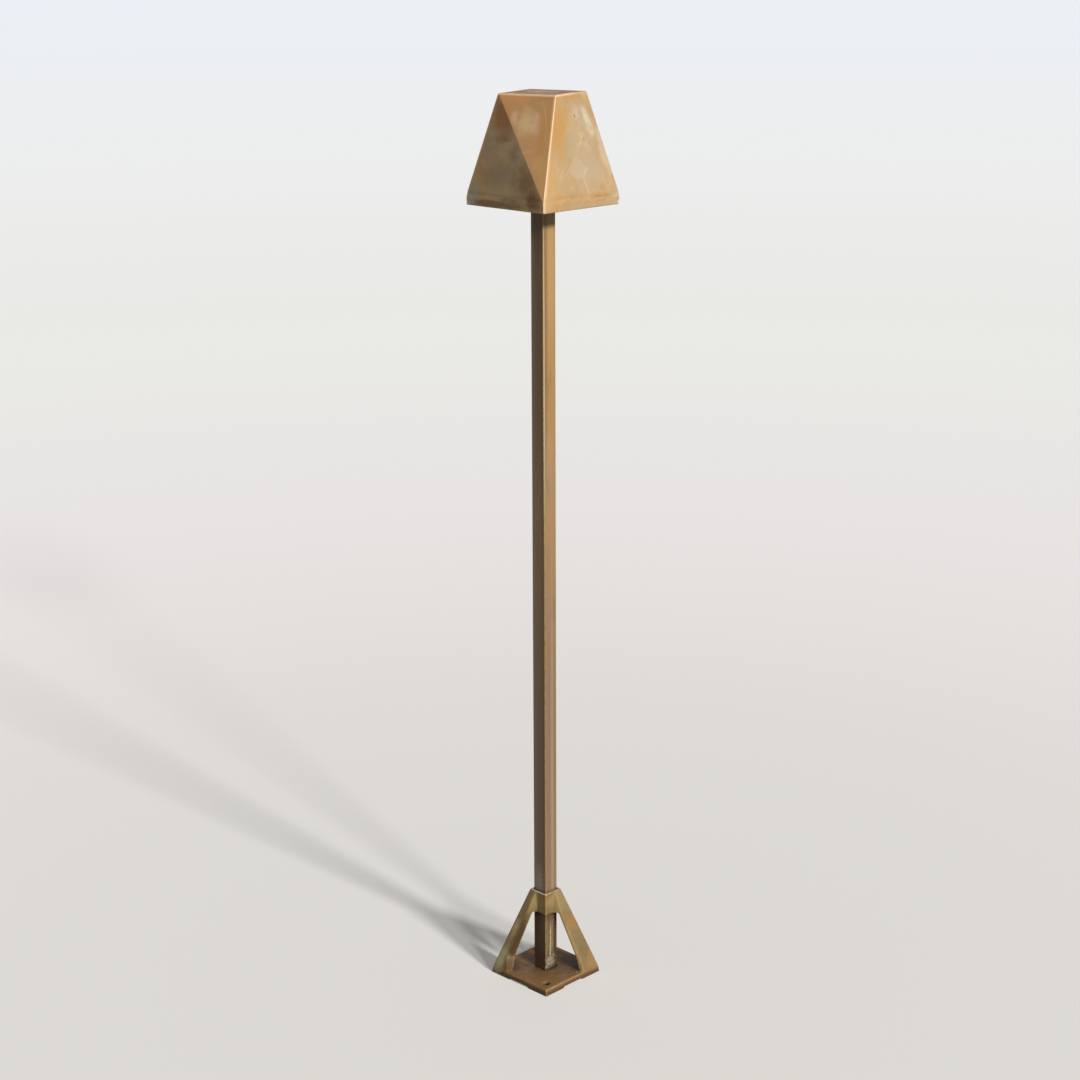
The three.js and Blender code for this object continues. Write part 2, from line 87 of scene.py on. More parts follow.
def node(tree, kind, inputs=None, **settings):
    """Adds a node. Each input is a value, or a node or socket that is linked to it."""
    made = tree.nodes.new(kind)
    for name, value in settings.items():
        setattr(made, name, value)
    for key, value in (inputs or {}).items():
        target = socket(made.inputs, key)
        if isinstance(value, bpy.types.Node):
            value = next(s for s in value.outputs if s.enabled)
        if isinstance(value, bpy.types.NodeSocket):
            tree.links.new(value, target)
        else:
            target.default_value = value
    return made


# Camera, light and floor

# The camera's place, aim and lens come from a fit to the photograph
CAMERA_PLACE = Vector((1.08656, -1.10310, 0.80249))
CAMERA_TURN = math.radians(44.6826)
CAMERA_DROP = math.radians(16.048)
CAMERA_ROLL = math.radians(0.239)
CAMERA_LENS = 71.597
SENSOR_WIDTH = 36

camera = bpy.data.objects.new("camera", bpy.data.cameras.new("camera"))
camera.data.sensor_width = SENSOR_WIDTH
camera.data.lens = CAMERA_LENS
camera.matrix_world = (
    Matrix.Translation(CAMERA_PLACE)
    @ Matrix.Rotation(CAMERA_TURN, 4, "Z")
    @ Matrix.Rotation(math.pi / 2 - CAMERA_DROP, 4, "X")
    @ Matrix.Rotation(-CAMERA_ROLL, 4, "Z")
)
scene = bpy.context.scene
scene.collection.objects.link(camera)
scene.camera = camera
scene.view_settings.view_transform = "Standard"

# Two soft suns from the right: the floor shows a strong shadow and a weak one behind it
LIGHT_HEIGHT = math.radians(26)
LIGHT_SPREAD = math.radians(7)
LIGHT_LEVEL = 1.55
SUNS = (("key_light", -3.3, 0.68), ("second_light", -15.0, 0.32))  # heading, share of the light

for name, heading, share in SUNS:
    sun = bpy.data.objects.new(name, bpy.data.lights.new(name, "SUN"))
    sun.data.energy = math.pi * LIGHT_LEVEL * share
    sun.data.angle = LIGHT_SPREAD
    toward = Vector((math.cos(LIGHT_HEIGHT), 0, math.sin(LIGHT_HEIGHT)))
    toward.rotate(Matrix.Rotation(math.radians(heading), 3, "Z"))
    sun.rotation_mode = "QUATERNION"
    sun.rotation_quaternion = toward.to_track_quat("Z", "Y")
    scene.collection.objects.link(sun)

world = bpy.data.worlds.new("studio")
world.use_nodes = True
scene.world = world
air = world.node_tree
air.nodes.clear()


def looked_at(tree):
    """1 for what the camera sees straight, in metal or through glass, 0 for soft light."""
    path = node(tree, "ShaderNodeLightPath").outputs
    seen = node(tree, "ShaderNodeMath", {
        0: path["Is Camera Ray"], 1: path["Is Glossy Ray"]}, operation="MAXIMUM")
    return node(tree, "ShaderNodeMath", {
        0: seen, 1: path["Is Transmission Ray"]}, operation="MAXIMUM")


# Soft light from all round, more of it from behind, where the two suns don't reach
FILL_LEVEL = 0.06
BACK_FILL_LEVEL = 0.45
BACKDROP = srgb("#ecf0f5")
heading = node(air, "ShaderNodeTexCoord").outputs["Generated"]
behind = node(air, "ShaderNodeVectorMath", {0: heading, 1: (-0.707, 0.707, 0)},
              operation="DOT_PRODUCT").outputs["Value"]
soft_light = node(air, "ShaderNodeMapRange", {
    "Value": behind, "From Min": 0.25, "From Max": 1.0,
    "To Min": FILL_LEVEL, "To Max": BACK_FILL_LEVEL,
}, interpolation_type="SMOOTHSTEP")
fill = node(air, "ShaderNodeBackground", {"Color": srgb("#f8f6f3"), "Strength": soft_light})
backdrop = node(air, "ShaderNodeBackground", {"Color": BACKDROP, "Strength": 1.0})
sky = node(air, "ShaderNodeMixShader", {0: looked_at(air), 1: fill, 2: backdrop})
node(air, "ShaderNodeOutputWorld", {"Surface": sky})


def material(name, **sockets):
    """A material with one Principled shader: the material, its tree and the shader."""
    made = bpy.data.materials.new(name)
    made.use_nodes = True
    tree = made.node_tree
    tree.nodes.clear()
    inputs = {key.replace("_", " "): value for key, value in sockets.items()}
    shader = node(tree, "ShaderNodeBsdfPrincipled", inputs)
    node(tree, "ShaderNodeOutputMaterial", {"Surface": shader})
    return made, tree, shader


# Painted studio floor: matt, a little warm under the light, paler and cooler far away
FLOOR_HALF = 60
FLOOR_BOUNCE = 0.36  # how much of its colour the floor throws back on the object
OWN_LIGHT_NEAR = 0.24  # share of its own glow by the object, where its shadow stays faint
OWN_LIGHT_FAR = 0.62
HALF_WAY = 1.5  # metres from the object to the middle of the floor's colours
FLOOR_COLOURS = ((0.0, "#ece9e4"), (0.22, "#efece8"), (0.38, "#f3efec"), (0.47, "#f5f1f0"),
                 (0.68, "#f2f3ef"), (0.81, "#f6f7f7"), (0.94, "#f5f9ff"))
floor_paint, tree, shader = material("matt_floor_paint", Roughness=0.9, Specular_IOR_Level=0.0)
place = node(tree, "ShaderNodeTexCoord").outputs["Object"]
distance = node(tree, "ShaderNodeVectorMath", {0: place}, operation="LENGTH").outputs["Value"]
beyond = node(tree, "ShaderNodeMath", {0: distance, 1: HALF_WAY}, operation="ADD")
share = node(tree, "ShaderNodeMath", {0: distance, 1: beyond}, operation="DIVIDE")
ramp = node(tree, "ShaderNodeValToRGB", {"Fac": share})
while len(ramp.color_ramp.elements) < len(FLOOR_COLOURS):
    ramp.color_ramp.elements.new(0.5)
for element, (spot, code) in zip(ramp.color_ramp.elements, FLOOR_COLOURS):
    element.position = spot
    element.color = srgb(code)
seen = looked_at(tree)
dim = node(tree, "ShaderNodeMapRange", {"Value": seen, "To Min": FLOOR_BOUNCE, "To Max": 1.0})
paint = node(tree, "ShaderNodeVectorMath", {0: ramp.outputs["Color"], "Scale": dim},
             operation="SCALE")
tree.links.new(paint.outputs["Vector"], shader.inputs["Base Color"])
own = node(tree, "ShaderNodeEmission", {"Color": ramp.outputs["Color"], "Strength": 1.0})
glow = node(tree, "ShaderNodeMapRange", {
    "Value": share, "From Min": 0.3, "From Max": 0.65,
    "To Min": OWN_LIGHT_NEAR, "To Max": OWN_LIGHT_FAR})
glow = node(tree, "ShaderNodeMath", {0: seen, 1: glow}, operation="MULTIPLY")
both = node(tree, "ShaderNodeMixShader", {0: glow, 1: shader, 2: own})
tree.links.new(both.outputs["Shader"], tree.nodes["Material Output"].inputs["Surface"])

floor = bpy.data.objects.new("floor", bpy.data.meshes.new("floor"))
floor.data.from_pydata(
    [(x * FLOOR_HALF, y * FLOOR_HALF, 0) for x, y in ((-1, -1), (1, -1), (1, 1), (-1, 1))],
    [], [(0, 1, 2, 3)],
)
floor.data.materials.append(floor_paint)
scene.collection.objects.link(floor)
floor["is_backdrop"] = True


# Finishes

def per_mm(size):
    """A noise texture's scale, for marks of about this many millimetres."""
    return 1 / (size * MM)


VEIN_HALF = 0.016  # half a vein's width, on the noise
GLOSS_SPREAD = 0.06


def spread_roughness(tree, shader, source, low, high):
    """Sets the shader's roughness between two values by a noise's middle part."""
    rough = node(tree, "ShaderNodeMapRange", {
        "Value": source.outputs["Fac"], "From Min": 0.3, "From Max": 0.7,
        "To Min": low, "To Max": high,
    })
    tree.links.new(rough.outputs["Result"], shader.inputs["Roughness"])


def add_bump(tree, shader, source, depth):
    """Raises the surface by a noise, depth in mm."""
    bump = node(tree, "ShaderNodeBump", {
        "Strength": 1.0, "Distance": depth * MM, "Height": source.outputs["Fac"],
    })
    tree.links.new(bump.outputs["Normal"], shader.inputs["Normal"])


def patina(name, ground, layers, metallic, roughness, gloss, grain, wear_and_highlight, ragged=7.0, marks=(),
           marks_turn=0, under=(), painted_reflection=None, hollow_shade_and_patina=None, veins=None):
    """Aged brass: cloudy stains over the ground colour, and lighter metal where edges rub, with a
    painted highlight on those edges that is strongest at the front.
    A layer is its colour, the size of its clouds in mm, how far they swirl, where they start
    and end on the noise, their strength, a seed, and their stretch along Z. A mark is its
    colour, centre and reach in mm, the share of the reach where it begins to fade, how ragged
    its edge is, and its strength. All the marks can be given in a frame turned about Z. The
    painted reflection colour goes on one facet and the painted shade with patina in hollows,
    each with its strength, where the mesh has those attributes. The painted reflection covers
    the marks called under, and the other marks lie on it.
    Veins are thin dried edges, with their colour, spacing in mm and strength."""
    made, tree, shader = material(name, Metallic=metallic, Specular_IOR_Level=gloss)
    place = node(tree, "ShaderNodeTexCoord").outputs["Object"]

    def over(colour, code, mask):
        return node(tree, "ShaderNodeMix", {
            "Factor": mask, "A": colour, "B": srgb(code),
        }, data_type="RGBA")

    def where(attribute, strength):
        share = node(tree, "ShaderNodeAttribute", attribute_name=attribute).outputs["Fac"]
        return node(tree, "ShaderNodeMath", {0: share, 1: strength}, operation="MULTIPLY",
                    use_clamp=True)

    colour = srgb(ground)
    for code, size, swirl, start, end, strength, seed, stretch in layers:
        spread = node(tree, "ShaderNodeMapping", {"Vector": place, "Scale": (1, 1, 1 / stretch)})
        cloud = node(tree, "ShaderNodeTexNoise", {
            "Vector": spread, "W": seed, "Scale": per_mm(size), "Detail": 3.0,
            "Roughness": 0.55, "Distortion": swirl,
        }, noise_dimensions="4D")
        colour = over(colour, code, node(tree, "ShaderNodeMapRange", {
            "Value": cloud.outputs["Fac"], "From Min": start, "From Max": end, "To Max": strength,
        }, interpolation_type="SMOOTHSTEP"))
    ragged = node(tree, "ShaderNodeTexNoise", {
        "Vector": place, "Scale": per_mm(ragged), "Detail": 4.0, "Roughness": 0.6,
    })
    ragged = node(tree, "ShaderNodeMath", {0: ragged.outputs["Fac"], 1: 0.5}, operation="SUBTRACT")
    spot = node(tree, "ShaderNodeVectorRotate", {
        "Vector": place, "Angle": math.radians(marks_turn)}, rotation_type="Z_AXIS")
    for turn, mark in enumerate((*under, *marks)):
        if painted_reflection and turn == len(under):
            colour = over(colour, painted_reflection[0], where("painted_reflection", painted_reflection[1]))
        code, centre, reach, fade, rough_edge, strength = mark
        gap = node(tree, "ShaderNodeVectorMath", {
            0: spot, 1: [c * MM for c in centre],
        }, operation="SUBTRACT")
        gap = node(tree, "ShaderNodeVectorMath", {
            0: gap, 1: [1 / (r * MM) for r in reach],
        }, operation="MULTIPLY")
        gap = node(tree, "ShaderNodeVectorMath", {0: gap}, operation="LENGTH").outputs["Value"]
        gap = node(tree, "ShaderNodeMath", {0: ragged, 1: rough_edge, 2: gap},
                   operation="MULTIPLY_ADD")
        colour = over(colour, code, node(tree, "ShaderNodeMapRange", {
            "Value": gap, "From Min": fade, "From Max": 1.0, "To Min": strength, "To Max": 0.0,
        }, interpolation_type="SMOOTHSTEP"))
    if veins:
        code, spacing, strength = veins
        thread = node(tree, "ShaderNodeTexNoise", {
            "Vector": place, "W": 11.0, "Scale": per_mm(spacing), "Detail": 1.0, "Distortion": 0.5,
        }, noise_dimensions="4D")
        thread = node(tree, "ShaderNodeMath", {0: thread.outputs["Fac"], 1: 0.5},
                      operation="SUBTRACT")
        thread = node(tree, "ShaderNodeMath", {0: thread}, operation="ABSOLUTE")
        thread = node(tree, "ShaderNodeMapRange", {
            "Value": thread, "From Max": VEIN_HALF, "To Min": strength, "To Max": 0.0,
        }, interpolation_type="SMOOTHSTEP")
        broken = node(tree, "ShaderNodeTexNoise", {
            "Vector": place, "W": 12.0, "Scale": per_mm(spacing / 3), "Detail": 2.0,
        }, noise_dimensions="4D")
        broken = node(tree, "ShaderNodeMapRange", {
            "Value": broken.outputs["Fac"], "From Min": 0.46, "From Max": 0.6,
        }, interpolation_type="SMOOTHSTEP")
        colour = over(colour, code, node(tree, "ShaderNodeMath", {
            0: thread, 1: broken}, operation="MULTIPLY"))
    if hollow_shade_and_patina:
        colour = over(colour, hollow_shade_and_patina[0], where("hollow_shade", hollow_shade_and_patina[1]))
    chips = node(tree, "ShaderNodeTexNoise", {
        "Vector": place, "Scale": per_mm(wear_and_highlight["size"]), "Detail": 3.0,
    })
    chips = node(tree, "ShaderNodeMapRange", {
        "Value": chips.outputs["Fac"], "From Min": 0.34, "From Max": 0.6,
        "To Min": wear_and_highlight["least"], "To Max": wear_and_highlight["most"],
    })
    # The rubbed edges carry a painted highlight: full at the front, cut to the behind share further
    # back
    front_highlight = node(tree, "ShaderNodeVectorMath", {0: place, 1: (0.7, -0.7, 0)},
                   operation="DOT_PRODUCT").outputs["Value"]
    front_highlight = node(tree, "ShaderNodeMapRange", {
        "Value": front_highlight, "From Min": 0.0, "From Max": 15 * MM, "To Min": wear_and_highlight["behind"]})
    chips = node(tree, "ShaderNodeMath", {0: chips, 1: front_highlight}, operation="MULTIPLY")
    colour = over(colour, wear_and_highlight["colour"], where("edge", chips))
    tree.links.new(socket(colour.outputs, "Result"), shader.inputs["Base Color"])
    haze = node(tree, "ShaderNodeTexNoise", {
        "Vector": place, "Scale": per_mm(9), "Detail": 4.0, "Distortion": 0.8,
    })
    spread_roughness(tree, shader, haze, roughness - 0.07, roughness + 0.09)
    size, depth = grain
    pits = node(tree, "ShaderNodeTexNoise", {
        "Vector": place, "Scale": per_mm(size), "Detail": 3.0,
    })
    add_bump(tree, shader, pits, depth)
    return made


def speckled(name, dark, light, grain, roughness, depth, **sockets):
    """A plain finish with its grain, given in mm: two near colours, uneven gloss and bump."""
    made, tree, shader = material(name, **sockets)
    place = node(tree, "ShaderNodeTexCoord").outputs["Object"]
    dots = node(tree, "ShaderNodeTexNoise", {
        "Vector": place, "Scale": per_mm(grain), "Detail": 4.0, "Roughness": 0.6,
    })
    mask = node(tree, "ShaderNodeMapRange", {
        "Value": dots.outputs["Fac"], "From Min": 0.35, "From Max": 0.65,
    })
    colour = node(tree, "ShaderNodeMix", {
        "Factor": mask, "A": srgb(dark), "B": srgb(light),
    }, data_type="RGBA")
    tree.links.new(socket(colour.outputs, "Result"), shader.inputs["Base Color"])
    spread_roughness(tree, shader, dots, roughness - GLOSS_SPREAD, roughness + GLOSS_SPREAD)
    add_bump(tree, shader, dots, depth)
    return made


finish = {}

# Folded sheet brass, satin, left to age: golden brown with olive and pinkish clouds
finish["shade_brass"] = patina(
    "aged_sheet_brass", "#a78353",
    [
        ("#a89171", 38, 0.8, 0.38, 0.62, 0.80, 1.0, 1.0),
        ("#948769", 22, 1.0, 0.50, 0.70, 0.40, 2.0, 1.0),
        ("#906b42", 27, 0.8, 0.55, 0.75, 0.45, 4.0, 1.0),
        ("#c2a881", 13, 1.6, 0.50, 0.72, 0.40, 3.0, 1.0),
    ],
    metallic=0.08, roughness=0.55, gloss=0.25, grain=(7, 0.06),
    # Rubbed ridges and roof edge, with a painted highlight on them, weaker on the sides behind
    wear_and_highlight={"colour": "#dab48a", "size": 9, "least": 0.85, "most": 1.0, "behind": 0.35},
    # Painted reflection: the upper triangle of the side away from the light is made lighter
    ragged=9.0, painted_reflection=("#af8253", 0.85), veins=("#d3bb92", 48, 0.17),
    under=[
        # The side away from the light: brown at its top and along the fold, greyer to the left,
        # with painted shade darkening this side
        ("#885d36", (-6, -31, 672), (20, 5, 26), 0.2, 0.8, 0.85),
        ("#957d60", (-17, -34, 646), (12, 5, 12), 0.1, 1.5, 0.8),
        ("#6f573f", (-13, -34, 656), (14, 4, 4.0), 0.1, 1.8, 0.65),
        ("#8b755a", (-8, -37, 632), (26, 5, 18), 0.1, 1.0, 0.8),
        ("#75522f", (20, -37.5, 630), (19, 5, 26), 0.1, 0.9, 0.8),
        ("#978b73", (-31, -38, 617), (12, 5, 16), 0.1, 1.0, 0.75),
        # Painted shade in the pressed line above the hem
        ("#6b482d", (4, -39, 614.5), (17, 3, 2.2), 0.2, 1.0, 0.55),
        ("#75583c", (-10, -39, 610.5), (36, 3, 3.6), 0.4, 0.8, 0.75),
        ("#5f462d", (6, -35.2, 646), (9, 5, 17), 0.0, 1.0, 0.45),
        ("#5c3a1a", (29, -39, 616), (11, 4, 11), 0.2, 0.8, 0.75),
        ("#aaa392", (-36, -39, 611), (9, 4, 6), 0.2, 0.8, 0.65),
    ],
    marks=[
        # The side with the light on it: gold beside the ridge, dried water lower down
        ("#ab8047", (32, -17, 668), (12, 14, 34), 0.1, 0.8, 0.8),
        ("#b28b54", (37, -30, 628), (10, 12, 34), 0.1, 1.0, 0.75),
        ("#a69379", (37, 8, 634), (10, 30, 22), 0.2, 0.9, 0.75),
        ("#ac864a", (31, -5, 669), (6, 5, 9), 0.1, 1.2, 0.45),
        ("#b49b7b", (37.5, -16.5, 625), (5, 9.6, 8.4), 0.7, 1.3, 0.2),
        ("#a1875e", (37.5, -16.5, 625), (5, 8.2, 7.0), 0.5, 1.2, 0.5),
        ("#b49b7b", (37.5, 12.7, 624.7), (5, 9.4, 8.0), 0.7, 1.3, 0.25),
        ("#a28864", (37.5, 12.7, 624.7), (5, 7.6, 6.4), 0.4, 1.4, 0.5),
        ("#bca686", (36, -1, 636), (5, 9.5, 9), 0.75, 1.2, 0.22),
        ("#aa906f", (36, -1, 636), (5, 8.0, 7.4), 0.5, 1.3, 0.3),
        ("#a67b43", (24, 6, 686), (16, 34, 9), 0.1, 1.0, 0.8),
        ("#b7a286", (31, 32, 648), (12, 9, 46), 0.3, 0.7, 0.75),
        ("#bbac8e", (25, 19, 666), (7, 8, 15), 0.15, 2.2, 0.85),
        ("#b9a084", (27, 5, 672), (6, 8, 9), 0.1, 1.6, 0.6),
        ("#d4c8ab", (27, 17, 670), (3, 3, 4), 0.2, 2.2, 0.3),
        ("#d4c8ab", (29, 22, 660), (3, 3, 4), 0.2, 2.2, 0.25),
        ("#77614b", (29, 2.6, 671.7), (3, 1.6, 2.0), 0.2, 1.4, 0.7),
        ("#816e54", (33, 7.5, 656), (3, 1.5, 2.0), 0.2, 1.4, 0.7),
        # Painted shade in the pressed line above the hem
        ("#917242", (39, 22, 615.4), (4, 15, 1.6), 0.3, 0.8, 0.7),
        ("#a38c6b", (39, 4, 609), (4, 34, 3.4), 0.3, 0.8, 0.7),
        ("#bb874d", (19, 24, 686), (6, 6, 6), 0.1, 1.0, 0.7),
        # The upper half of the side away from it: orange brown, beige in the middle
        ("#c68b54", (0, -27, 687), (30, 10, 8), 0.1, 1.0, 0.85),
        ("#c0a679", (10, -27, 667), (12, 7, 15), 0.15, 1.3, 0.9),
        ("#c7a084", (1, -29, 671), (5, 5, 9), 0.1, 1.2, 0.65),
        ("#c6a186", (18.5, -26, 667), (5, 5, 12), 0.1, 1.2, 0.65),
        ("#ac7c45", (26, -27, 660), (4, 8, 30), 0.1, 0.8, 0.7),
        ("#c0975b", (28, -33, 640), (8, 5, 12), 0.1, 1.2, 0.3),
        # Worn corners, and the roof gone brown round a paler middle
        ("#d0c9b8", (-38.3, -38.6, 609.5), (2.6, 2.6, 2.4), 0.3, 1.2, 0.85),
        ("#c9c0ab", (38.6, 38.3, 609.5), (2.6, 2.6, 2.4), 0.3, 1.2, 0.85),
        ("#825833", (0, 0, 690), (80, 80, 4), 0.8, 0.1, 0.85),
        ("#a79681", (-3, 3, 688), (17, 17, 2), 0.4, 0.8, 0.7),
    ],
)

# Drawn square tube, satin brass gone brown, with long streaks
finish["post_brass"] = patina(
    "aged_drawn_brass", "#94744a",
    [
        ("#8a765e", 26, 0.6, 0.42, 0.60, 0.60, 5.0, 5.0),
        ("#a97b47", 14, 0.5, 0.54, 0.70, 0.50, 6.0, 7.0),
        ("#6e5539", 9, 0.8, 0.54, 0.72, 0.45, 7.0, 5.0),
    ],
    metallic=0.1, roughness=0.42, gloss=0.25, grain=(3, 0.03),
    wear_and_highlight={"colour": "#bb9869", "size": 6, "least": 0.0, "most": 0.3, "behind": 0.5},
    # Painted shade with patina where the foot closes the post in
    ragged=2.2, hollow_shade_and_patina=("#3f2d20", 1.2),
    marks=[
        # Painted light falloff: darker low down, lighter high on the right face, and painted shade
        # high on the left face
        ("#6e5a48", (0, 0, 140), (30, 30, 300), 0.3, 0.1, 0.75),
        ("#a48253", (6.4, 0, 560), (6, 12, 90), 0.1, 0.2, 0.8),
        ("#61482f", (0, -6.4, 560), (30, 6, 230), 0.3, 0.2, 0.7),
        # Painted reflection along its edges: greyer on the outer one, dark by the front one, a pale
        # painted highlight on the front edge higher up, and a paler and a browner band down the
        # right face
        ("#8a7e70", (-6.4, -6.4, 330), (7, 2, 900), 0.1, 0.15, 0.55),
        ("#634827", (6.0, -6.6, 330), (5, 1.6, 900), 0.1, 0.15, 0.6),
        ("#7b6240", (6.5, -6.3, 70), (1.6, 2.4, 330), 0.1, 0.15, 0.7),
        ("#bb9e76", (6.5, -6.3, 500), (1.4, 1.5, 170), 0.4, 0.1, 0.85),
        ("#a98e6b", (6.5, 1.5, 130), (2, 2.6, 330), 0.1, 0.3, 0.4),
        ("#816747", (6.5, 6.0, 130), (2, 2.2, 330), 0.1, 0.3, 0.6),
        # Painted shade just under the shade, and on the left face under the shade and near the foot
        ("#694f31", (0, 0, 607), (30, 30, 22), 0.2, 0.3, 0.15),
        ("#553820", (0, -6.4, 600), (8, 2, 40), 0.3, 0.3, 0.7),
        ("#4f3c27", (0, -6.4, 26), (8, 2, 44), 0.5, 0.3, 0.8),
        ("#988c7a", (-1, -6.4, 78), (8, 2, 22), 0.1, 0.9, 0.85),
        # Its foot: lime gone flaky, with a run above it and dark sides
        ("#513c27", (6.4, 4.2, 34), (2, 2.4, 36), 0.7, 1.0, 0.9),
        ("#6c603c", (6.4, -3.6, 40), (2, 3.0, 30), 0.6, 1.0, 0.7),
        ("#52442d", (6.4, -0.6, 12), (2, 7.0, 11), 0.8, 1.6, 0.7),
        ("#afa28b", (6.4, -0.8, 10.5), (2, 6.0, 8), 0.45, 3.4, 0.85),
        ("#f7efdb", (6.4, -0.8, 6.4), (2, 6.4, 4.6), 0.25, 3.4, 0.95),
        ("#bcae90", (6.4, -1.0, 27), (2, 1.1, 27), 0.4, 2.0, 0.9),
    ],
)

# Sand-cast brass, ground on its faces: reddish brown, darker in the corners with patina and painted
# shade
finish["cast_brass"] = patina(
    "aged_cast_brass", "#7b643f",
    [
        ("#8a7955", 20, 1.0, 0.42, 0.62, 0.55, 8.0, 1.0),
        ("#93673a", 12, 1.2, 0.50, 0.72, 0.55, 9.0, 1.0),
        ("#695739", 14, 1.0, 0.56, 0.74, 0.35, 10.0, 1.0),
    ],
    metallic=0.2, roughness=0.55, gloss=0.15, grain=(1.6, 0.05),
    wear_and_highlight={"colour": "#a28254", "size": 4, "least": 0.1, "most": 0.4, "behind": 1.0},
    # Painted shade with patina in the hollows
    ragged=5.0, hollow_shade_and_patina=("#422f20", 1.5), marks_turn=45,
    marks=[
        # The slab's top, with a scratch across it and a painted shadow over the shaded part behind
        ("#83613e", (0, 0, 5.3), (60, 60, 3.0), 0.5, 0.3, 0.9),
        ("#947056", (-1, -19, 5.3), (12, 10, 3.0), 0.1, 1.0, 0.7),
        ("#4c3424", (-8, 19, 5.3), (18, 12, 3.0), 0.3, 0.8, 0.85),
        ("#5e422f", (-26, 0, 5.3), (14, 14, 3.0), 0.1, 0.8, 0.6),
        ("#b59570", (11.0, -20, 5.4), (0.9, 13, 2), 0.2, 0.2, 0.7),
        ("#b59570", (10.1, 6, 5.4), (0.9, 8, 2), 0.2, 0.2, 0.6),
        ("#e8c990", (12.2, 24.6, 5.6), (1.2, 1.2, 1.6), 0.2, 0.4, 0.9),
        ("#4a3623", (0, 0, 1.4), (90, 90, 3.6), 0.45, 0.2, 0.85),
        # The sleeve, and a pale line round its rim that is partly crust and partly painted
        # highlight
        ("#998259", (0, 0, 64), (14, 14, 11), 0.3, 0.8, 0.8),
        ("#e2d6bb", (0, 0, 72.4), (40, 40, 1.1), 0.3, 1.6, 0.8),
        ("#efe6d2", (6, -5, 72.3), (6, 7, 1.8), 0.3, 1.6, 0.9),
        # The legs: rust on the right one, olive on the left one, and painted shade darkening its
        # flank
        ("#a8925f", (6, -10, 64), (4, 7, 11), 0.4, 0.6, 0.5),
        ("#66563a", (3, 28, 34), (9, 19, 40), 0.4, 0.5, 0.55),
        ("#a27242", (3, 21, 44), (9, 9, 14), 0.1, 1.6, 0.4),
        ("#a06338", (1, 31, 37), (5, 5, 12), 0.1, 1.6, 0.4),
        ("#946a40", (2, 38, 16), (9, 9, 14), 0.1, 1.8, 0.5),
        ("#aaa380", (3, -36, 16), (6, 12, 26), 0.2, 1.0, 0.8),
        ("#b0a179", (3, -26, 45), (4, 9, 24), 0.1, 1.0, 0.8),
        ("#3f2d1c", (5.6, -23, 33), (1.3, 15, 42), 0.4, 0.3, 0.85),
        ("#5a432c", (9, -28, 10), (5, 7, 9), 0.4, 0.6, 0.9),
    ],
)

# Turned brass, plain satin, kept clean inside the shade
finish["turned_brass"] = speckled("turned_satin_brass", "#ab8b5b", "#c6a674", 5, 0.42, 0.01,
                                  Metallic=1.0)
# Stainless steel, bright turned screws
finish["steel"] = speckled("stainless_steel", "#8f9092", "#b2b3b4", 1.5, 0.32, 0.01, Metallic=1.0)
# Nickel plate on the contacts and pins, bright with a yellowish cast
finish["nickel"] = speckled("nickel_plate", "#bdb9ac", "#d3cfc3", 1.2, 0.24, 0.004, Metallic=1.0)
# Moulded nitrile rubber, black and dull
finish["rubber"] = speckled("nitrile_rubber", "#18181a", "#242427", 0.8, 0.68, 0.02)
# Moulded silicone rubber, grey, a little waxy
finish["silicone"] = speckled("silicone_rubber", "#aeaaa2", "#bdb9b1", 1.2, 0.5, 0.01)
# Pressed steatite ceramic, off-white and dull, with a fine tooth
finish["ceramic"] = speckled("steatite_ceramic", "#c3bfb3", "#d0ccc1", 0.9, 0.6, 0.02)
# Acid-frosted glass: clear body, its surface broken up so that it glows and hides
finish["frosted_glass"] = speckled(
    "acid_frosted_glass", "#e2ebe8", "#eef4f2", 1.0, 0.42, 0.01, IOR=1.5, Transmission_Weight=1.0)
# Milky silicone over the lamp's diodes, warm white
finish["capsule"] = speckled("milky_silicone", "#cfc19a", "#dacdab", 1.5, 0.4, 0.01,
                             Subsurface_Weight=0.3, Subsurface_Scale=0.002)
# PVC insulation, extruded, with a soft gloss
finish["lead_black"] = speckled("black_pvc", "#1c1c1f", "#28282b", 1.0, 0.45, 0.01)
finish["lead_red"] = speckled("red_pvc", "#84241d", "#972f26", 1.0, 0.45, 0.01)
# Natural nylon, moulded, waxy and a little yellow
finish["nylon"] = speckled("natural_nylon", "#c4c1b3", "#d3d0c4", 1.4, 0.42, 0.01,
                           Subsurface_Weight=0.15, Subsurface_Scale=0.001)


# Folded square shells

SHELL_INPUTS = (("Bottom Side", "Float"), ("Top Side", "Float"), ("Twist", "Float"),
                ("Edge Radius", "Float"), ("Steps", "Int"), ("Panel Side", "Int"),
                ("Finish", "Material"))
# Wear on the ridges and the roof's edge, with a painted highlight on it
RIDGE_FADE = 0.6  # the wear on a ridge is gone after one step over this
BRINK_FADE = 120.0  # the wear on the roof's edge is gone at one over this of the height


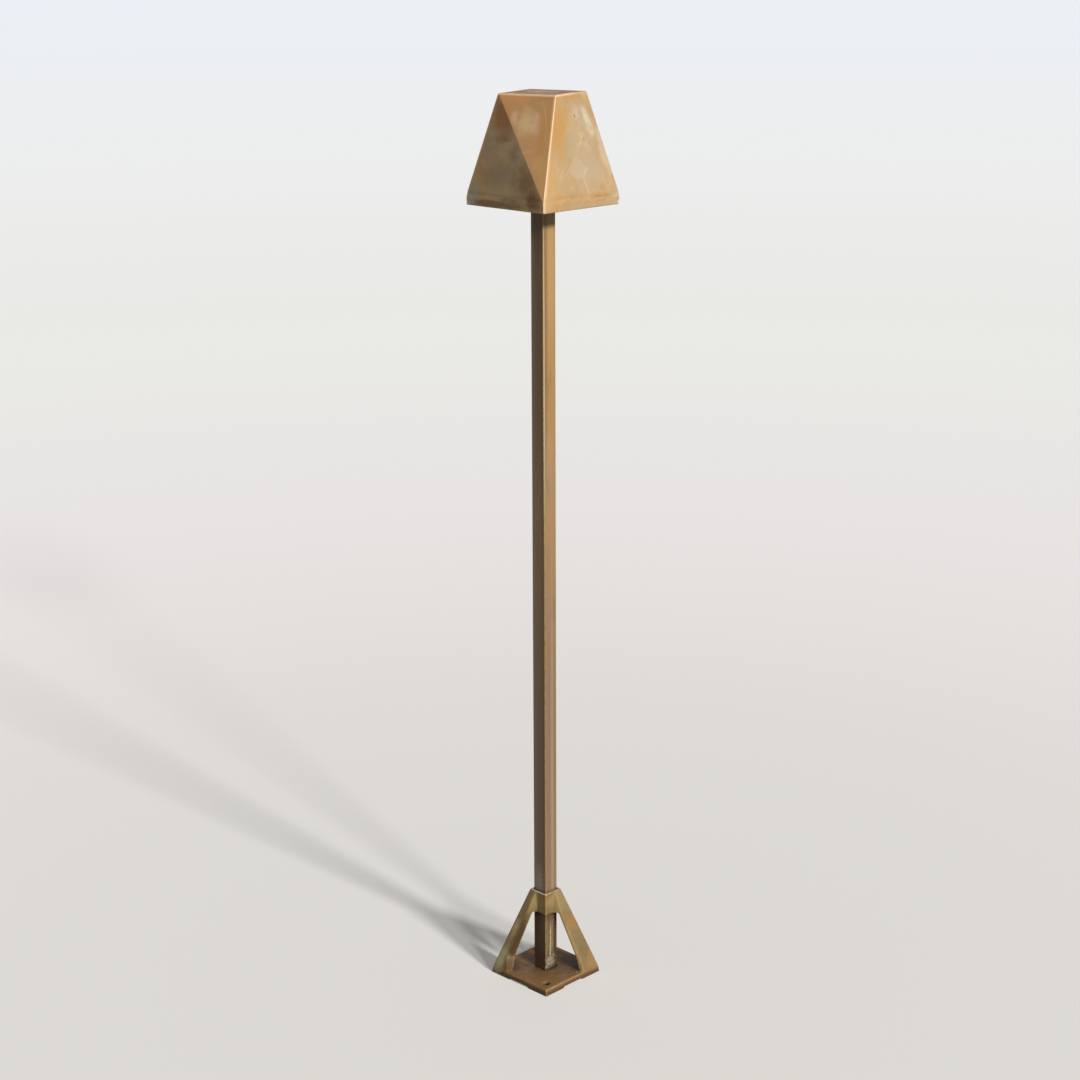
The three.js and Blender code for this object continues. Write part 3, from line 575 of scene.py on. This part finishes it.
def shell_tree():
    """A square shell whose top may be turned against its bottom, so that each side folds into
    two flat triangles. The points given are its profile: X is how far the surface lies inside
    the outer square, Y runs from 0 at the bottom square over 1 at the top square to 2 at the
    middle of the roof, and Z is the height."""
    tree = bpy.data.node_groups.new("folded_square_shell", "GeometryNodeTree")
    tree.interface.new_socket("Profile", in_out="INPUT", socket_type="NodeSocketGeometry")
    for name, kind in SHELL_INPUTS:
        tree.interface.new_socket(name, in_out="INPUT", socket_type="NodeSocket" + kind)
    tree.interface.new_socket("Shell", in_out="OUTPUT", socket_type="NodeSocketGeometry")
    given = node(tree, "NodeGroupInput").outputs
    steps, twist = given["Steps"], given["Twist"]
    rows = node(tree, "GeometryNodeAttributeDomainSize", {"Geometry": given["Profile"]})
    rows = rows.outputs["Point Count"]
    turns = node(tree, "ShaderNodeMath", {0: steps, 1: 4.0}, operation="MULTIPLY")
    columns = node(tree, "ShaderNodeMath", {0: turns, 1: 4.0, 2: 1.0}, operation="MULTIPLY_ADD")
    sheet = node(tree, "GeometryNodeMeshGrid", {"Vertices X": columns, "Vertices Y": rows})
    index = node(tree, "GeometryNodeInputIndex")
    row = node(tree, "ShaderNodeMath", {0: index, 1: rows}, operation="MODULO")
    column = node(tree, "ShaderNodeMath", {0: index, 1: rows}, operation="DIVIDE")
    column = node(tree, "ShaderNodeMath", {0: column}, operation="FLOOR")
    point = node(tree, "GeometryNodeSampleIndex", {
        "Geometry": given["Profile"], "Value": node(tree, "GeometryNodeInputPosition"),
        "Index": row,
    }, data_type="FLOAT_VECTOR")
    parts = node(tree, "ShaderNodeSeparateXYZ", {0: point}).outputs
    inset, climb, height = parts["X"], parts["Y"], parts["Z"]

    # Each side has four spans: the bottom edge, the bend at the fold, the top edge, the ridge
    side = node(tree, "ShaderNodeMath", {0: column, 1: turns}, operation="DIVIDE")
    side = node(tree, "ShaderNodeMath", {0: side}, operation="FLOOR")
    span = node(tree, "ShaderNodeMath", {0: column, 1: turns}, operation="MODULO")
    span = node(tree, "ShaderNodeMath", {0: span, 1: steps}, operation="DIVIDE")
    deepest = node(tree, "ShaderNodeMath", {0: inset, 1: given["Edge Radius"]}, operation="MAXIMUM")
    corners = []
    for name, first in (("Bottom Side", 0.0), ("Top Side", 2.0)):
        half = node(tree, "ShaderNodeMath", {0: given[name], 1: 0.5}, operation="MULTIPLY")
        half = node(tree, "ShaderNodeMath", {0: half, 1: deepest}, operation="SUBTRACT")
        back = node(tree, "ShaderNodeMath", {0: half, 1: -1.0}, operation="MULTIPLY")
        along = node(tree, "ShaderNodeMapRange", {
            "Value": span, "From Min": first, "From Max": first + 1,
            "To Min": half, "To Max": back,
        }, interpolation_type="SMOOTHSTEP")
        corners.append(node(tree, "ShaderNodeCombineXYZ", {"X": along, "Y": half}))
    upper = node(tree, "ShaderNodeVectorRotate", {
        "Vector": corners[1], "Angle": twist,
    }, rotation_type="Z_AXIS")
    core = node(tree, "ShaderNodeMix", {
        "Factor": climb, "A": corners[0], "B": upper,
    }, data_type="VECTOR")
    left = node(tree, "ShaderNodeMath", {0: 2.0, 1: climb}, operation="SUBTRACT")
    left = node(tree, "ShaderNodeMath", {0: left, 1: 1.0}, operation="MINIMUM")
    core = node(tree, "ShaderNodeVectorMath", {0: core, "Scale": left}, operation="SCALE")

    # The rounding of the edges goes round the core
    fold = node(tree, "ShaderNodeMapRange", {
        "Value": span, "From Min": 1.0, "From Max": 2.0,
        "To Min": math.pi / 2, "To Max": node(tree, "ShaderNodeMath", {
            0: twist, 1: math.pi / 2}, operation="ADD"),
    })
    ridge = node(tree, "ShaderNodeMapRange", {
        "Value": span, "From Min": 3.0, "From Max": 4.0, "To Min": 0.0,
        "To Max": node(tree, "ShaderNodeMath", {
            0: math.pi / 2, 1: twist}, operation="SUBTRACT"),
    })
    aim = node(tree, "ShaderNodeMath", {0: fold, 1: ridge}, operation="ADD")
    radius = node(tree, "ShaderNodeMath", {
        0: given["Edge Radius"], 1: inset}, operation="SUBTRACT")
    radius = node(tree, "ShaderNodeMath", {0: radius, 1: 0.0}, operation="MAXIMUM")
    rim = node(tree, "ShaderNodeVectorRotate", {
        "Vector": node(tree, "ShaderNodeCombineXYZ", {"X": radius}), "Angle": aim,
    }, rotation_type="Z_AXIS")
    place = node(tree, "ShaderNodeVectorMath", {0: core, 1: rim}, operation="ADD")
    quarter = node(tree, "ShaderNodeMath", {0: side, 1: math.pi / 2}, operation="MULTIPLY")
    place = node(tree, "ShaderNodeVectorRotate", {
        "Vector": place, "Angle": quarter,
    }, rotation_type="Z_AXIS")
    lift = node(tree, "ShaderNodeCombineXYZ", {"Z": height})
    place = node(tree, "ShaderNodeVectorMath", {0: place, 1: lift}, operation="ADD")
    shaped = node(tree, "GeometryNodeSetPosition", {"Geometry": sheet, "Position": place})

    # How close each point is to a ridge, for the wear and painted highlight on it
    spread = node(tree, "ShaderNodeMath", {0: steps, 1: RIDGE_FADE}, operation="MULTIPLY")
    after = node(tree, "ShaderNodeMath", {0: span, 1: spread}, operation="MULTIPLY")
    after = node(tree, "ShaderNodeMath", {0: 1.0, 1: after}, operation="SUBTRACT")
    before = node(tree, "ShaderNodeMath", {0: span, 1: 3.0}, operation="SUBTRACT")
    before = node(tree, "ShaderNodeMath", {0: before, 1: spread, 2: 1.0}, operation="MULTIPLY_ADD")
    near = node(tree, "ShaderNodeMath", {0: after, 1: before}, operation="MAXIMUM")
    brink = node(tree, "ShaderNodeMath", {0: climb, 1: 1.0}, operation="SUBTRACT")
    brink = node(tree, "ShaderNodeMath", {0: brink}, operation="ABSOLUTE")
    brink = node(tree, "ShaderNodeMath", {0: brink, 1: -BRINK_FADE, 2: 1.0},
                 operation="MULTIPLY_ADD")
    near = node(tree, "ShaderNodeMath", {0: near, 1: brink}, operation="MAXIMUM", use_clamp=True)
    marked = node(tree, "GeometryNodeStoreNamedAttribute", {
        "Geometry": shaped, "Name": "edge", "Value": near,
    }, data_type="FLOAT")

    # Which points lie on the upper triangle of the chosen side, for the painted reflection on it
    rise = node(tree, "ShaderNodeMapRange", {"Value": span, "From Min": 1.0, "From Max": 2.0})
    drop = node(tree, "ShaderNodeMapRange", {
        "Value": span, "From Min": 3.0, "From Max": 4.0, "To Min": 1.0, "To Max": 0.0})
    upper_panel = node(tree, "ShaderNodeMath", {0: rise, 1: drop}, operation="MINIMUM")
    chosen = node(tree, "ShaderNodeMath", {
        0: side, 1: given["Panel Side"], 2: 0.1}, operation="COMPARE")
    upper_panel = node(tree, "ShaderNodeMath", {0: upper_panel, 1: chosen}, operation="MULTIPLY")
    marked = node(tree, "GeometryNodeStoreNamedAttribute", {
        "Geometry": marked, "Name": "painted_reflection", "Value": upper_panel,
    }, data_type="FLOAT")
    closed = node(tree, "GeometryNodeMergeByDistance", {"Geometry": marked, "Distance": 0.005 * MM})
    smooth = node(tree, "GeometryNodeSetShadeSmooth", {"Geometry": closed})
    real = node(tree, "GeometryNodeRealizeInstances", {"Geometry": smooth})
    painted = node(tree, "GeometryNodeSetMaterial", {
        "Geometry": real, "Material": given["Finish"]})
    node(tree, "NodeGroupOutput", {0: painted})
    return tree


def settle(obj):
    """Turns an object's modifiers into its plain mesh."""
    scene.collection.objects.link(obj)
    graph = bpy.context.evaluated_depsgraph_get()
    mesh = bpy.data.meshes.new_from_object(obj.evaluated_get(graph), depsgraph=graph)
    obj.modifiers.clear()
    obj.data = mesh
    mesh.name = obj.name
    work = bmesh.new()
    work.from_mesh(mesh)
    volume = work.calc_volume(signed=True)
    work.free()
    if volume < 0:
        mesh.flip_normals()
    return obj


def stand_for(obj, *node_names):
    """The piece joins the body of its CAD nodes, and those nodes are hidden."""
    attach(obj, body_of[node_names[0]])
    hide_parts(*node_names)


def give_inputs(modifier, wanted):
    """Sets a Geometry Nodes modifier's inputs by their identifiers."""
    for item in modifier.node_group.interface.items_tree:
        if item.in_out == "INPUT" and item.name in wanted:
            modifier[item.identifier] = wanted[item.name]


def shell(name, tree, profile, sizes, node_name):
    """Makes one folded square shell from its profile and its sizes."""
    points = bpy.data.meshes.new(name)
    points.from_pydata(profile, [], [])
    obj = bpy.data.objects.new(name, points)
    build = obj.modifiers.new("shell", "NODES")
    build.node_group = tree
    give_inputs(build, dict(sizes, Finish=finish[slot_of[node_name]]))
    even = obj.modifiers.new("even_normals", "WEIGHTED_NORMAL")
    even.keep_sharp = False
    settle(obj)
    stand_for(obj, node_name)
    return obj


folded_shell = shell_tree()

# The shade: outside from the roof's middle down over the hem, round the rim and up inside
low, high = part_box("shade_shell")
SHADE_BOTTOM, SHADE_TOP = low.z, high.z
HEM_TOP = SHADE_BOTTOM + 7.2 * MM
SHADE_TOP_SIDE = 46.3 * MM
SHADE_TWIST = math.radians(16)
SHADE_WALL = 1.5 * MM
SHADE_EDGE = 0.6 * MM
HEM_BEND = 5 * MM
GROOVE_HEIGHT = 8.0 * MM
GROOVE_HALF = 2.6 * MM
GROOVE_DEPTH = 0.22 * MM
RIM_ROUND = 0.6 * MM


def climb_at(z):
    """How far the side has gone from the hem's square to the top's, with a soft bend at the hem."""
    full = SHADE_TOP - HEM_TOP
    up = (z - (HEM_TOP - HEM_BEND / 2)) / full
    bend = HEM_BEND / full
    if up <= 0:
        return 0.0
    return up * up / (2 * bend) if up < bend else up - bend / 2


def groove_at(z):
    """The pressed line above the hem: how deep the surface lies there."""
    off = (z - SHADE_BOTTOM - GROOVE_HEIGHT) / GROOVE_HALF
    return GROOVE_DEPTH * (1 - off * off) ** 2 if abs(off) < 1 else 0.0


def levels(top, foot):
    """Heights from top to foot, close together where the hem bends."""
    far_steps, bend_steps = 14, 22
    bend_top, bend_foot = HEM_TOP + 6 * MM, SHADE_BOTTOM + 4 * MM
    far = [top - 0.9 * MM]
    far += [top + (bend_top - top) * k / far_steps for k in range(1, far_steps)]
    bent = [bend_top + (bend_foot - bend_top) * k / bend_steps for k in range(bend_steps + 1)]
    return far + bent + [(bend_foot + foot) / 2]


def arc(turns):
    """The angles of a quarter turn."""
    return [math.pi / 2 * k / turns for k in range(turns + 1)]


profile = [(SHADE_EDGE, 2 - k / 6, SHADE_TOP) for k in range(6)]
profile += [
    (SHADE_EDGE * (1 - math.sin(t)), 1.0, SHADE_TOP - SHADE_EDGE * (1 - math.cos(t)))
    for t in arc(6)
]
slope_top, slope_foot = SHADE_TOP - SHADE_EDGE, SHADE_BOTTOM + RIM_ROUND
for z in levels(slope_top, slope_foot):
    profile.append((groove_at(z), climb_at(z), z))
profile += [
    (RIM_ROUND * (1 - math.cos(t)), 0.0, SHADE_BOTTOM + RIM_ROUND * (1 - math.sin(t)))
    for t in arc(4)
]
profile += [
    (SHADE_WALL - RIM_ROUND * (1 - math.sin(t)), 0.0, SHADE_BOTTOM + RIM_ROUND * (1 - math.cos(t)))
    for t in arc(4)
]
ROOF_UNDER = SHADE_TOP - SHADE_WALL
for z in reversed(levels(ROOF_UNDER, slope_foot)):
    profile.append((SHADE_WALL + groove_at(z), climb_at(z), z))
profile.append((SHADE_WALL, climb_at(ROOF_UNDER), ROOF_UNDER))
profile += [(SHADE_WALL, 1 + k / 6, ROOF_UNDER) for k in range(7)]
shade = shell("shade", folded_shell, profile, {
    "Bottom Side": high.x - low.x, "Top Side": SHADE_TOP_SIDE, "Twist": SHADE_TWIST,
    "Edge Radius": SHADE_EDGE, "Steps": 16, "Panel Side": 2,
}, "shade_shell")

# The post: a square tube, cut square at both ends
low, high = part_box("post_tube")
POST_WALL = 1.2 * MM
POST_EDGE = 0.55 * MM
END_EASE = 0.25 * MM
POST_ROWS = 60
post_run = high.z - low.z - 2 * END_EASE
heights = [high.z - END_EASE - post_run * k / POST_ROWS for k in range(POST_ROWS + 1)]
profile = [(END_EASE, 0.0, high.z)]
profile += [(0.0, 0.0, z) for z in heights]
profile += [(END_EASE, 0.0, low.z), (POST_WALL, 0.0, low.z)]
profile += [(POST_WALL, 0.0, z) for z in reversed(heights[1:-1])]
profile += [(POST_WALL, 0.0, high.z), (END_EASE, 0.0, high.z)]
post = shell("post", folded_shell, profile, {
    "Bottom Side": high.x - low.x, "Top Side": high.x - low.x, "Twist": 0.0,
    "Edge Radius": POST_EDGE, "Steps": 8, "Panel Side": -1,
}, "post_tube")


# The other pieces

def merged_copy(node_name, piece_name):
    """A piece with the CAD node's shape, its loose triangles joined and flat faces made whole."""
    mesh = nodes[node_name].data.copy()
    mesh.name = piece_name
    work = bmesh.new()
    work.from_mesh(mesh)
    bmesh.ops.remove_doubles(work, verts=work.verts, dist=0.001 * MM)
    bmesh.ops.dissolve_limit(
        work, angle_limit=math.radians(0.5), verts=work.verts, edges=work.edges)
    work.to_mesh(mesh)
    work.free()
    mesh.materials.clear()
    mesh.materials.append(finish[slot_of[node_name]])
    return bpy.data.objects.new(piece_name, mesh)


# The foot is cast, so every edge and corner of it is a little round
SAND_GRAIN = 0.55 * MM
foot = merged_copy("base_casting", "cast_foot")
sand = foot.modifiers.new("cast", "REMESH")
sand.mode = "VOXEL"
sand.voxel_size = SAND_GRAIN
sand.use_smooth_shade = True
soften = foot.modifiers.new("soften", "SMOOTH")
soften.factor = 0.5
soften.iterations = 3
settle(foot)

# How far each point stands out from what is round it, for the wear on edges and corners
work = bmesh.new()
work.from_mesh(foot.data)
work.verts.ensure_lookup_table()
SMOOTHING_ROUNDS = 3
FULL_WEAR = 0.10 * MM  # standing out by this much more is worn bare
NO_WEAR = 0.35  # share of it that is still a flat
even = [v.co.copy() for v in work.verts]
links = [[e.other_vert(v).index for e in v.link_edges] for v in work.verts]
for _ in range(SMOOTHING_ROUNDS):
    even = [sum((even[j] for j in near), Vector()) / len(near) for near in links]
edge = [
    min(max((v.co - even[v.index]).dot(v.normal) / FULL_WEAR - NO_WEAR, 0), 1)
    for v in work.verts
]
work.free()
worn = foot.data.attributes.new("edge", "FLOAT", "POINT")
worn.data.foreach_set("value", edge)


SHELTER_REACH = 22 * MM
SHELTER_TOP = 90 * MM  # no point above this height is near the foot
RAY_RINGS = ((35, 5, 0.0), (62, 8, 0.5))  # lean in degrees, count, shift as a share of a step


def fixed_rays():
    """Directions round Z: one straight up, then a steep ring and a flat one."""
    rays = [Vector((0, 0, 1))]
    for lean, count, shift in RAY_RINGS:
        for k in range(count):
            turn = 2 * math.pi * (k + shift) / count
            ray = Vector((math.sin(math.radians(lean)), 0, math.cos(math.radians(lean))))
            ray.rotate(Matrix.Rotation(turn, 3, "Z"))
            rays.append(ray)
    return rays


def mark_hollow_shade(piece, around):
    """Stores for each point the share of its outlook that the pieces around it close off, for the
    painted shade and patina in hollows.
    """
    points, faces = [], []
    for other in around:
        first = len(points)
        points += [v.co.copy() for v in other.data.vertices]
        faces += [[first + v for v in f.vertices] for f in other.data.polygons]
    solid = BVHTree.FromPolygons(points, faces)
    rays = fixed_rays()
    share = []
    for v in piece.data.vertices:
        if v.co.z > SHELTER_TOP:
            share.append(0.0)
            continue
        turn = v.normal.to_track_quat("Z", "Y")
        start = v.co + v.normal * 0.3 * MM
        hits = sum(
            solid.ray_cast(start, turn @ ray, SHELTER_REACH)[0] is not None for ray in rays
        )
        share.append(hits / len(rays))
    found = piece.data.attributes.new("hollow_shade", "FLOAT", "POINT")
    found.data.foreach_set("value", share)


mark_hollow_shade(foot, (foot, post))
mark_hollow_shade(post, (foot, post))
stand_for(foot, "base_casting")

# Screws, turned on the lathe
TURNED_INPUTS = (("Steps", "Int"), ("Slot Width", "Float"), ("Slot Depth", "Float"),
                 ("Slot Length", "Float"), ("Finish", "Material"))


def turned_tree():
    """Turns an outline round Z, cuts a screwdriver slot into its face and sets one at each place.
    The outline is the points with the attribute "outline": X is the radius, Y is 1 where it is
    a hexagon and Z is the height over the face. At every other point, the places, the attribute
    "aim" says which way the face looks."""
    tree = bpy.data.node_groups.new("turned_screws", "GeometryNodeTree")
    tree.interface.new_socket("Points", in_out="INPUT", socket_type="NodeSocketGeometry")
    for name, kind in TURNED_INPUTS:
        tree.interface.new_socket(name, in_out="INPUT", socket_type="NodeSocket" + kind)
    tree.interface.new_socket("Screws", in_out="OUTPUT", socket_type="NodeSocketGeometry")
    given = node(tree, "NodeGroupInput").outputs
    in_outline = node(tree, "GeometryNodeInputNamedAttribute", {"Name": "outline"},
                      data_type="BOOLEAN")
    split = node(tree, "GeometryNodeSeparateGeometry", {
        "Geometry": given["Points"], "Selection": in_outline}, domain="POINT").outputs
    outline, places = split["Selection"], split["Inverted"]

    rows = node(tree, "GeometryNodeAttributeDomainSize", {"Geometry": outline})
    rows = rows.outputs["Point Count"]
    columns = node(tree, "ShaderNodeMath", {0: given["Steps"], 1: 1.0}, operation="ADD")
    sheet = node(tree, "GeometryNodeMeshGrid", {"Vertices X": columns, "Vertices Y": rows})
    index = node(tree, "GeometryNodeInputIndex")
    row = node(tree, "ShaderNodeMath", {0: index, 1: rows}, operation="MODULO")
    column = node(tree, "ShaderNodeMath", {0: index, 1: rows}, operation="DIVIDE")
    column = node(tree, "ShaderNodeMath", {0: column}, operation="FLOOR")
    point = node(tree, "GeometryNodeSampleIndex", {
        "Geometry": outline, "Value": node(tree, "GeometryNodeInputPosition"), "Index": row,
    }, data_type="FLOAT_VECTOR")
    parts = node(tree, "ShaderNodeSeparateXYZ", {0: point}).outputs
    angle = node(tree, "ShaderNodeMath", {0: column, 1: given["Steps"]}, operation="DIVIDE")
    angle = node(tree, "ShaderNodeMath", {0: angle, 1: 2 * math.pi}, operation="MULTIPLY")

    # Between two corners a hexagon is nearer to the middle
    sixth = math.pi / 3
    past = node(tree, "ShaderNodeMath", {0: angle, 1: sixth}, operation="MODULO")
    past = node(tree, "ShaderNodeMath", {0: past, 1: sixth / 2}, operation="SUBTRACT")
    flat = node(tree, "ShaderNodeMath", {0: past}, operation="COSINE")
    flat = node(tree, "ShaderNodeMath", {0: math.cos(sixth / 2), 1: flat}, operation="DIVIDE")
    share = node(tree, "ShaderNodeMapRange", {"Value": parts["Y"], "To Min": 1.0, "To Max": flat})
    radius = node(tree, "ShaderNodeMath", {0: parts["X"], 1: share}, operation="MULTIPLY")
    place = node(tree, "ShaderNodeVectorRotate", {
        "Vector": node(tree, "ShaderNodeCombineXYZ", {"X": radius, "Z": parts["Z"]}),
        "Angle": angle,
    }, rotation_type="Z_AXIS")
    shaped = node(tree, "GeometryNodeSetPosition", {"Geometry": sheet, "Position": place})
    closed = node(tree, "GeometryNodeMergeByDistance", {"Geometry": shaped, "Distance": 0.002 * MM})

    cutter_height = node(tree, "ShaderNodeMath", {0: given["Slot Depth"], 1: 2.0},
                         operation="MULTIPLY")
    cutter = node(tree, "GeometryNodeMeshCube", {"Size": node(tree, "ShaderNodeCombineXYZ", {
        "X": given["Slot Length"], "Y": given["Slot Width"], "Z": cutter_height})})
    slotted = node(tree, "GeometryNodeMeshBoolean", {"Mesh 1": closed, "Mesh 2": cutter},
                   operation="DIFFERENCE", solver="EXACT")
    screw = node(tree, "GeometryNodeSwitch", {
        "Switch": given["Slot Width"], "False": closed, "True": slotted}, input_type="GEOMETRY")
    aim = node(tree, "GeometryNodeInputNamedAttribute", {"Name": "aim"}, data_type="FLOAT_VECTOR")
    turn = node(tree, "FunctionNodeAlignRotationToVector", {"Vector": aim}, axis="Z")
    placed = node(tree, "GeometryNodeInstanceOnPoints", {
        "Points": places, "Instance": screw, "Rotation": turn})
    real = node(tree, "GeometryNodeRealizeInstances", {"Geometry": placed})
    painted = node(tree, "GeometryNodeSetMaterial", {
        "Geometry": real, "Material": given["Finish"]})
    node(tree, "NodeGroupOutput", {0: painted})
    return tree


def ease_edges(piece, sharp=35):
    """Smooth shading that keeps the sharp edges."""
    piece.data.shade_smooth()
    piece.data.set_sharp_from_angle(angle=math.radians(sharp))


lathe = turned_tree()
SCREW_EASE = 0.15 * MM
SCREW_STEPS = 36
M2, M25, M3 = 1.0 * MM, 1.25 * MM, 1.5 * MM  # thread radii
SLOT_WIDTH = 0.65 * MM
SLOT_LENGTH = 6 * MM  # longer than any head is wide


def turned_screws(name, aims, outline, slot=(0.0, 0.0, 0.0)):
    """Makes one piece of equal screws. Each CAD screw's name has the way its face looks."""
    points = list(outline)
    directions = [(0, 0, 1)] * len(points)
    for node_name, aim in aims.items():
        low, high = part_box(node_name)
        half = (high - low) / 2
        points.append(tuple(m + a * h for m, a, h in zip((low + high) / 2, aim, half)))
        directions.append(aim)
    mesh = bpy.data.meshes.new(name)
    mesh.from_pydata(points, [], [])
    in_outline = mesh.attributes.new("outline", "BOOLEAN", "POINT")
    in_outline.data.foreach_set("value", [k < len(outline) for k in range(len(points))])
    aim = mesh.attributes.new("aim", "FLOAT_VECTOR", "POINT")
    aim.data.foreach_set("vector", [c for way in directions for c in way])
    obj = bpy.data.objects.new(name, mesh)
    build = obj.modifiers.new("lathe", "NODES")
    build.node_group = lathe
    width, depth, length = slot
    give_inputs(build, {
        "Steps": SCREW_STEPS, "Slot Width": width, "Slot Depth": depth, "Slot Length": length,
        "Finish": finish["steel"],
    })
    settle(obj)
    ease_edges(obj)
    stand_for(obj, *aims)


def grub_outline(radius, length):
    """Headless screw: a hexagon recess half as wide as the thread, then the face and the body."""
    recess, floor = radius * 0.5, -length * 0.45
    return [
        (0, 1, floor - recess * 0.3), (recess, 1, floor), (recess, 1, -SCREW_EASE / 2),
        (recess + SCREW_EASE / 2, 0.7, 0), (radius - SCREW_EASE, 0, 0), (radius, 0, -SCREW_EASE),
        (radius, 0, SCREW_EASE - length), (radius - SCREW_EASE, 0, -length), (0, 0, -length),
    ]


def headed_outline(radius, head_radius, head, length):
    """Screw with a low domed head."""
    rim = head * 0.45
    dome = [(head_radius * k / 6, 0, -rim * 0.35 * (k / 6) ** 2) for k in range(6)]
    shoulder = [
        (head_radius * (1 - 0.09 * (1 - math.sin(t))), 0, -rim * (1 - 0.6 * math.cos(t)))
        for t in arc(4)
    ]
    return dome + shoulder + [
        (head_radius, 0, -head + SCREW_EASE / 2), (head_radius - SCREW_EASE / 2, 0, -head),
        (radius, 0, -head), (radius, 0, SCREW_EASE - length), (radius * 0.7, 0, -length),
        (0, 0, -length),
    ]


turned_screws("foot_grub_screws", {"post_screw_1": (-1, 0, 0), "post_screw_2": (0, 1, 0)},
              grub_outline(M3, 1.8 * MM))
turned_screws("ring_grub_screws", {"ring_screw_1": (1, 0, 0), "ring_screw_2": (-1, 0, 0)},
              grub_outline(M2, 1.65 * MM))
turned_screws("shade_grub_screws", {"shade_screw_1": (0, 1, 0), "shade_screw_2": (0, -1, 0)},
              grub_outline(M3, 2.9 * MM))
turned_screws("holder_head_screws", {"holder_screw_1": (-1, 0, 0), "holder_screw_2": (0, 1, 0)},
              headed_outline(M25, 2.3 * MM, 1.2 * MM, 3.9 * MM),
              slot=(SLOT_WIDTH, 0.6 * MM, SLOT_LENGTH))
turned_screws("socket_head_screws", {"socket_screw_1": (0, 0, 1), "socket_screw_2": (0, 0, 1)},
              headed_outline(M25, 1.9 * MM, 1.3 * MM, 8.5 * MM),
              slot=(SLOT_WIDTH, 0.65 * MM, SLOT_LENGTH))

# Every other piece keeps its CAD shape, with its edges eased
EASE = 0.12 * MM
SHARP_ANGLE = math.radians(35)
done = {"base_casting", "post_tube", "shade_shell"} | {n for n in nodes if "_screw_" in n}
for node_name in sorted(nodes):
    if node_name in done:
        continue
    piece = merged_copy(node_name, node_name + "_eased")
    bevel = piece.modifiers.new("ease", "BEVEL")
    bevel.width = EASE
    bevel.segments = 2
    bevel.limit_method = "ANGLE"
    bevel.angle_limit = SHARP_ANGLE
    settle(piece)
    ease_edges(piece, sharp=40)
    stand_for(piece, node_name)


low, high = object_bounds()
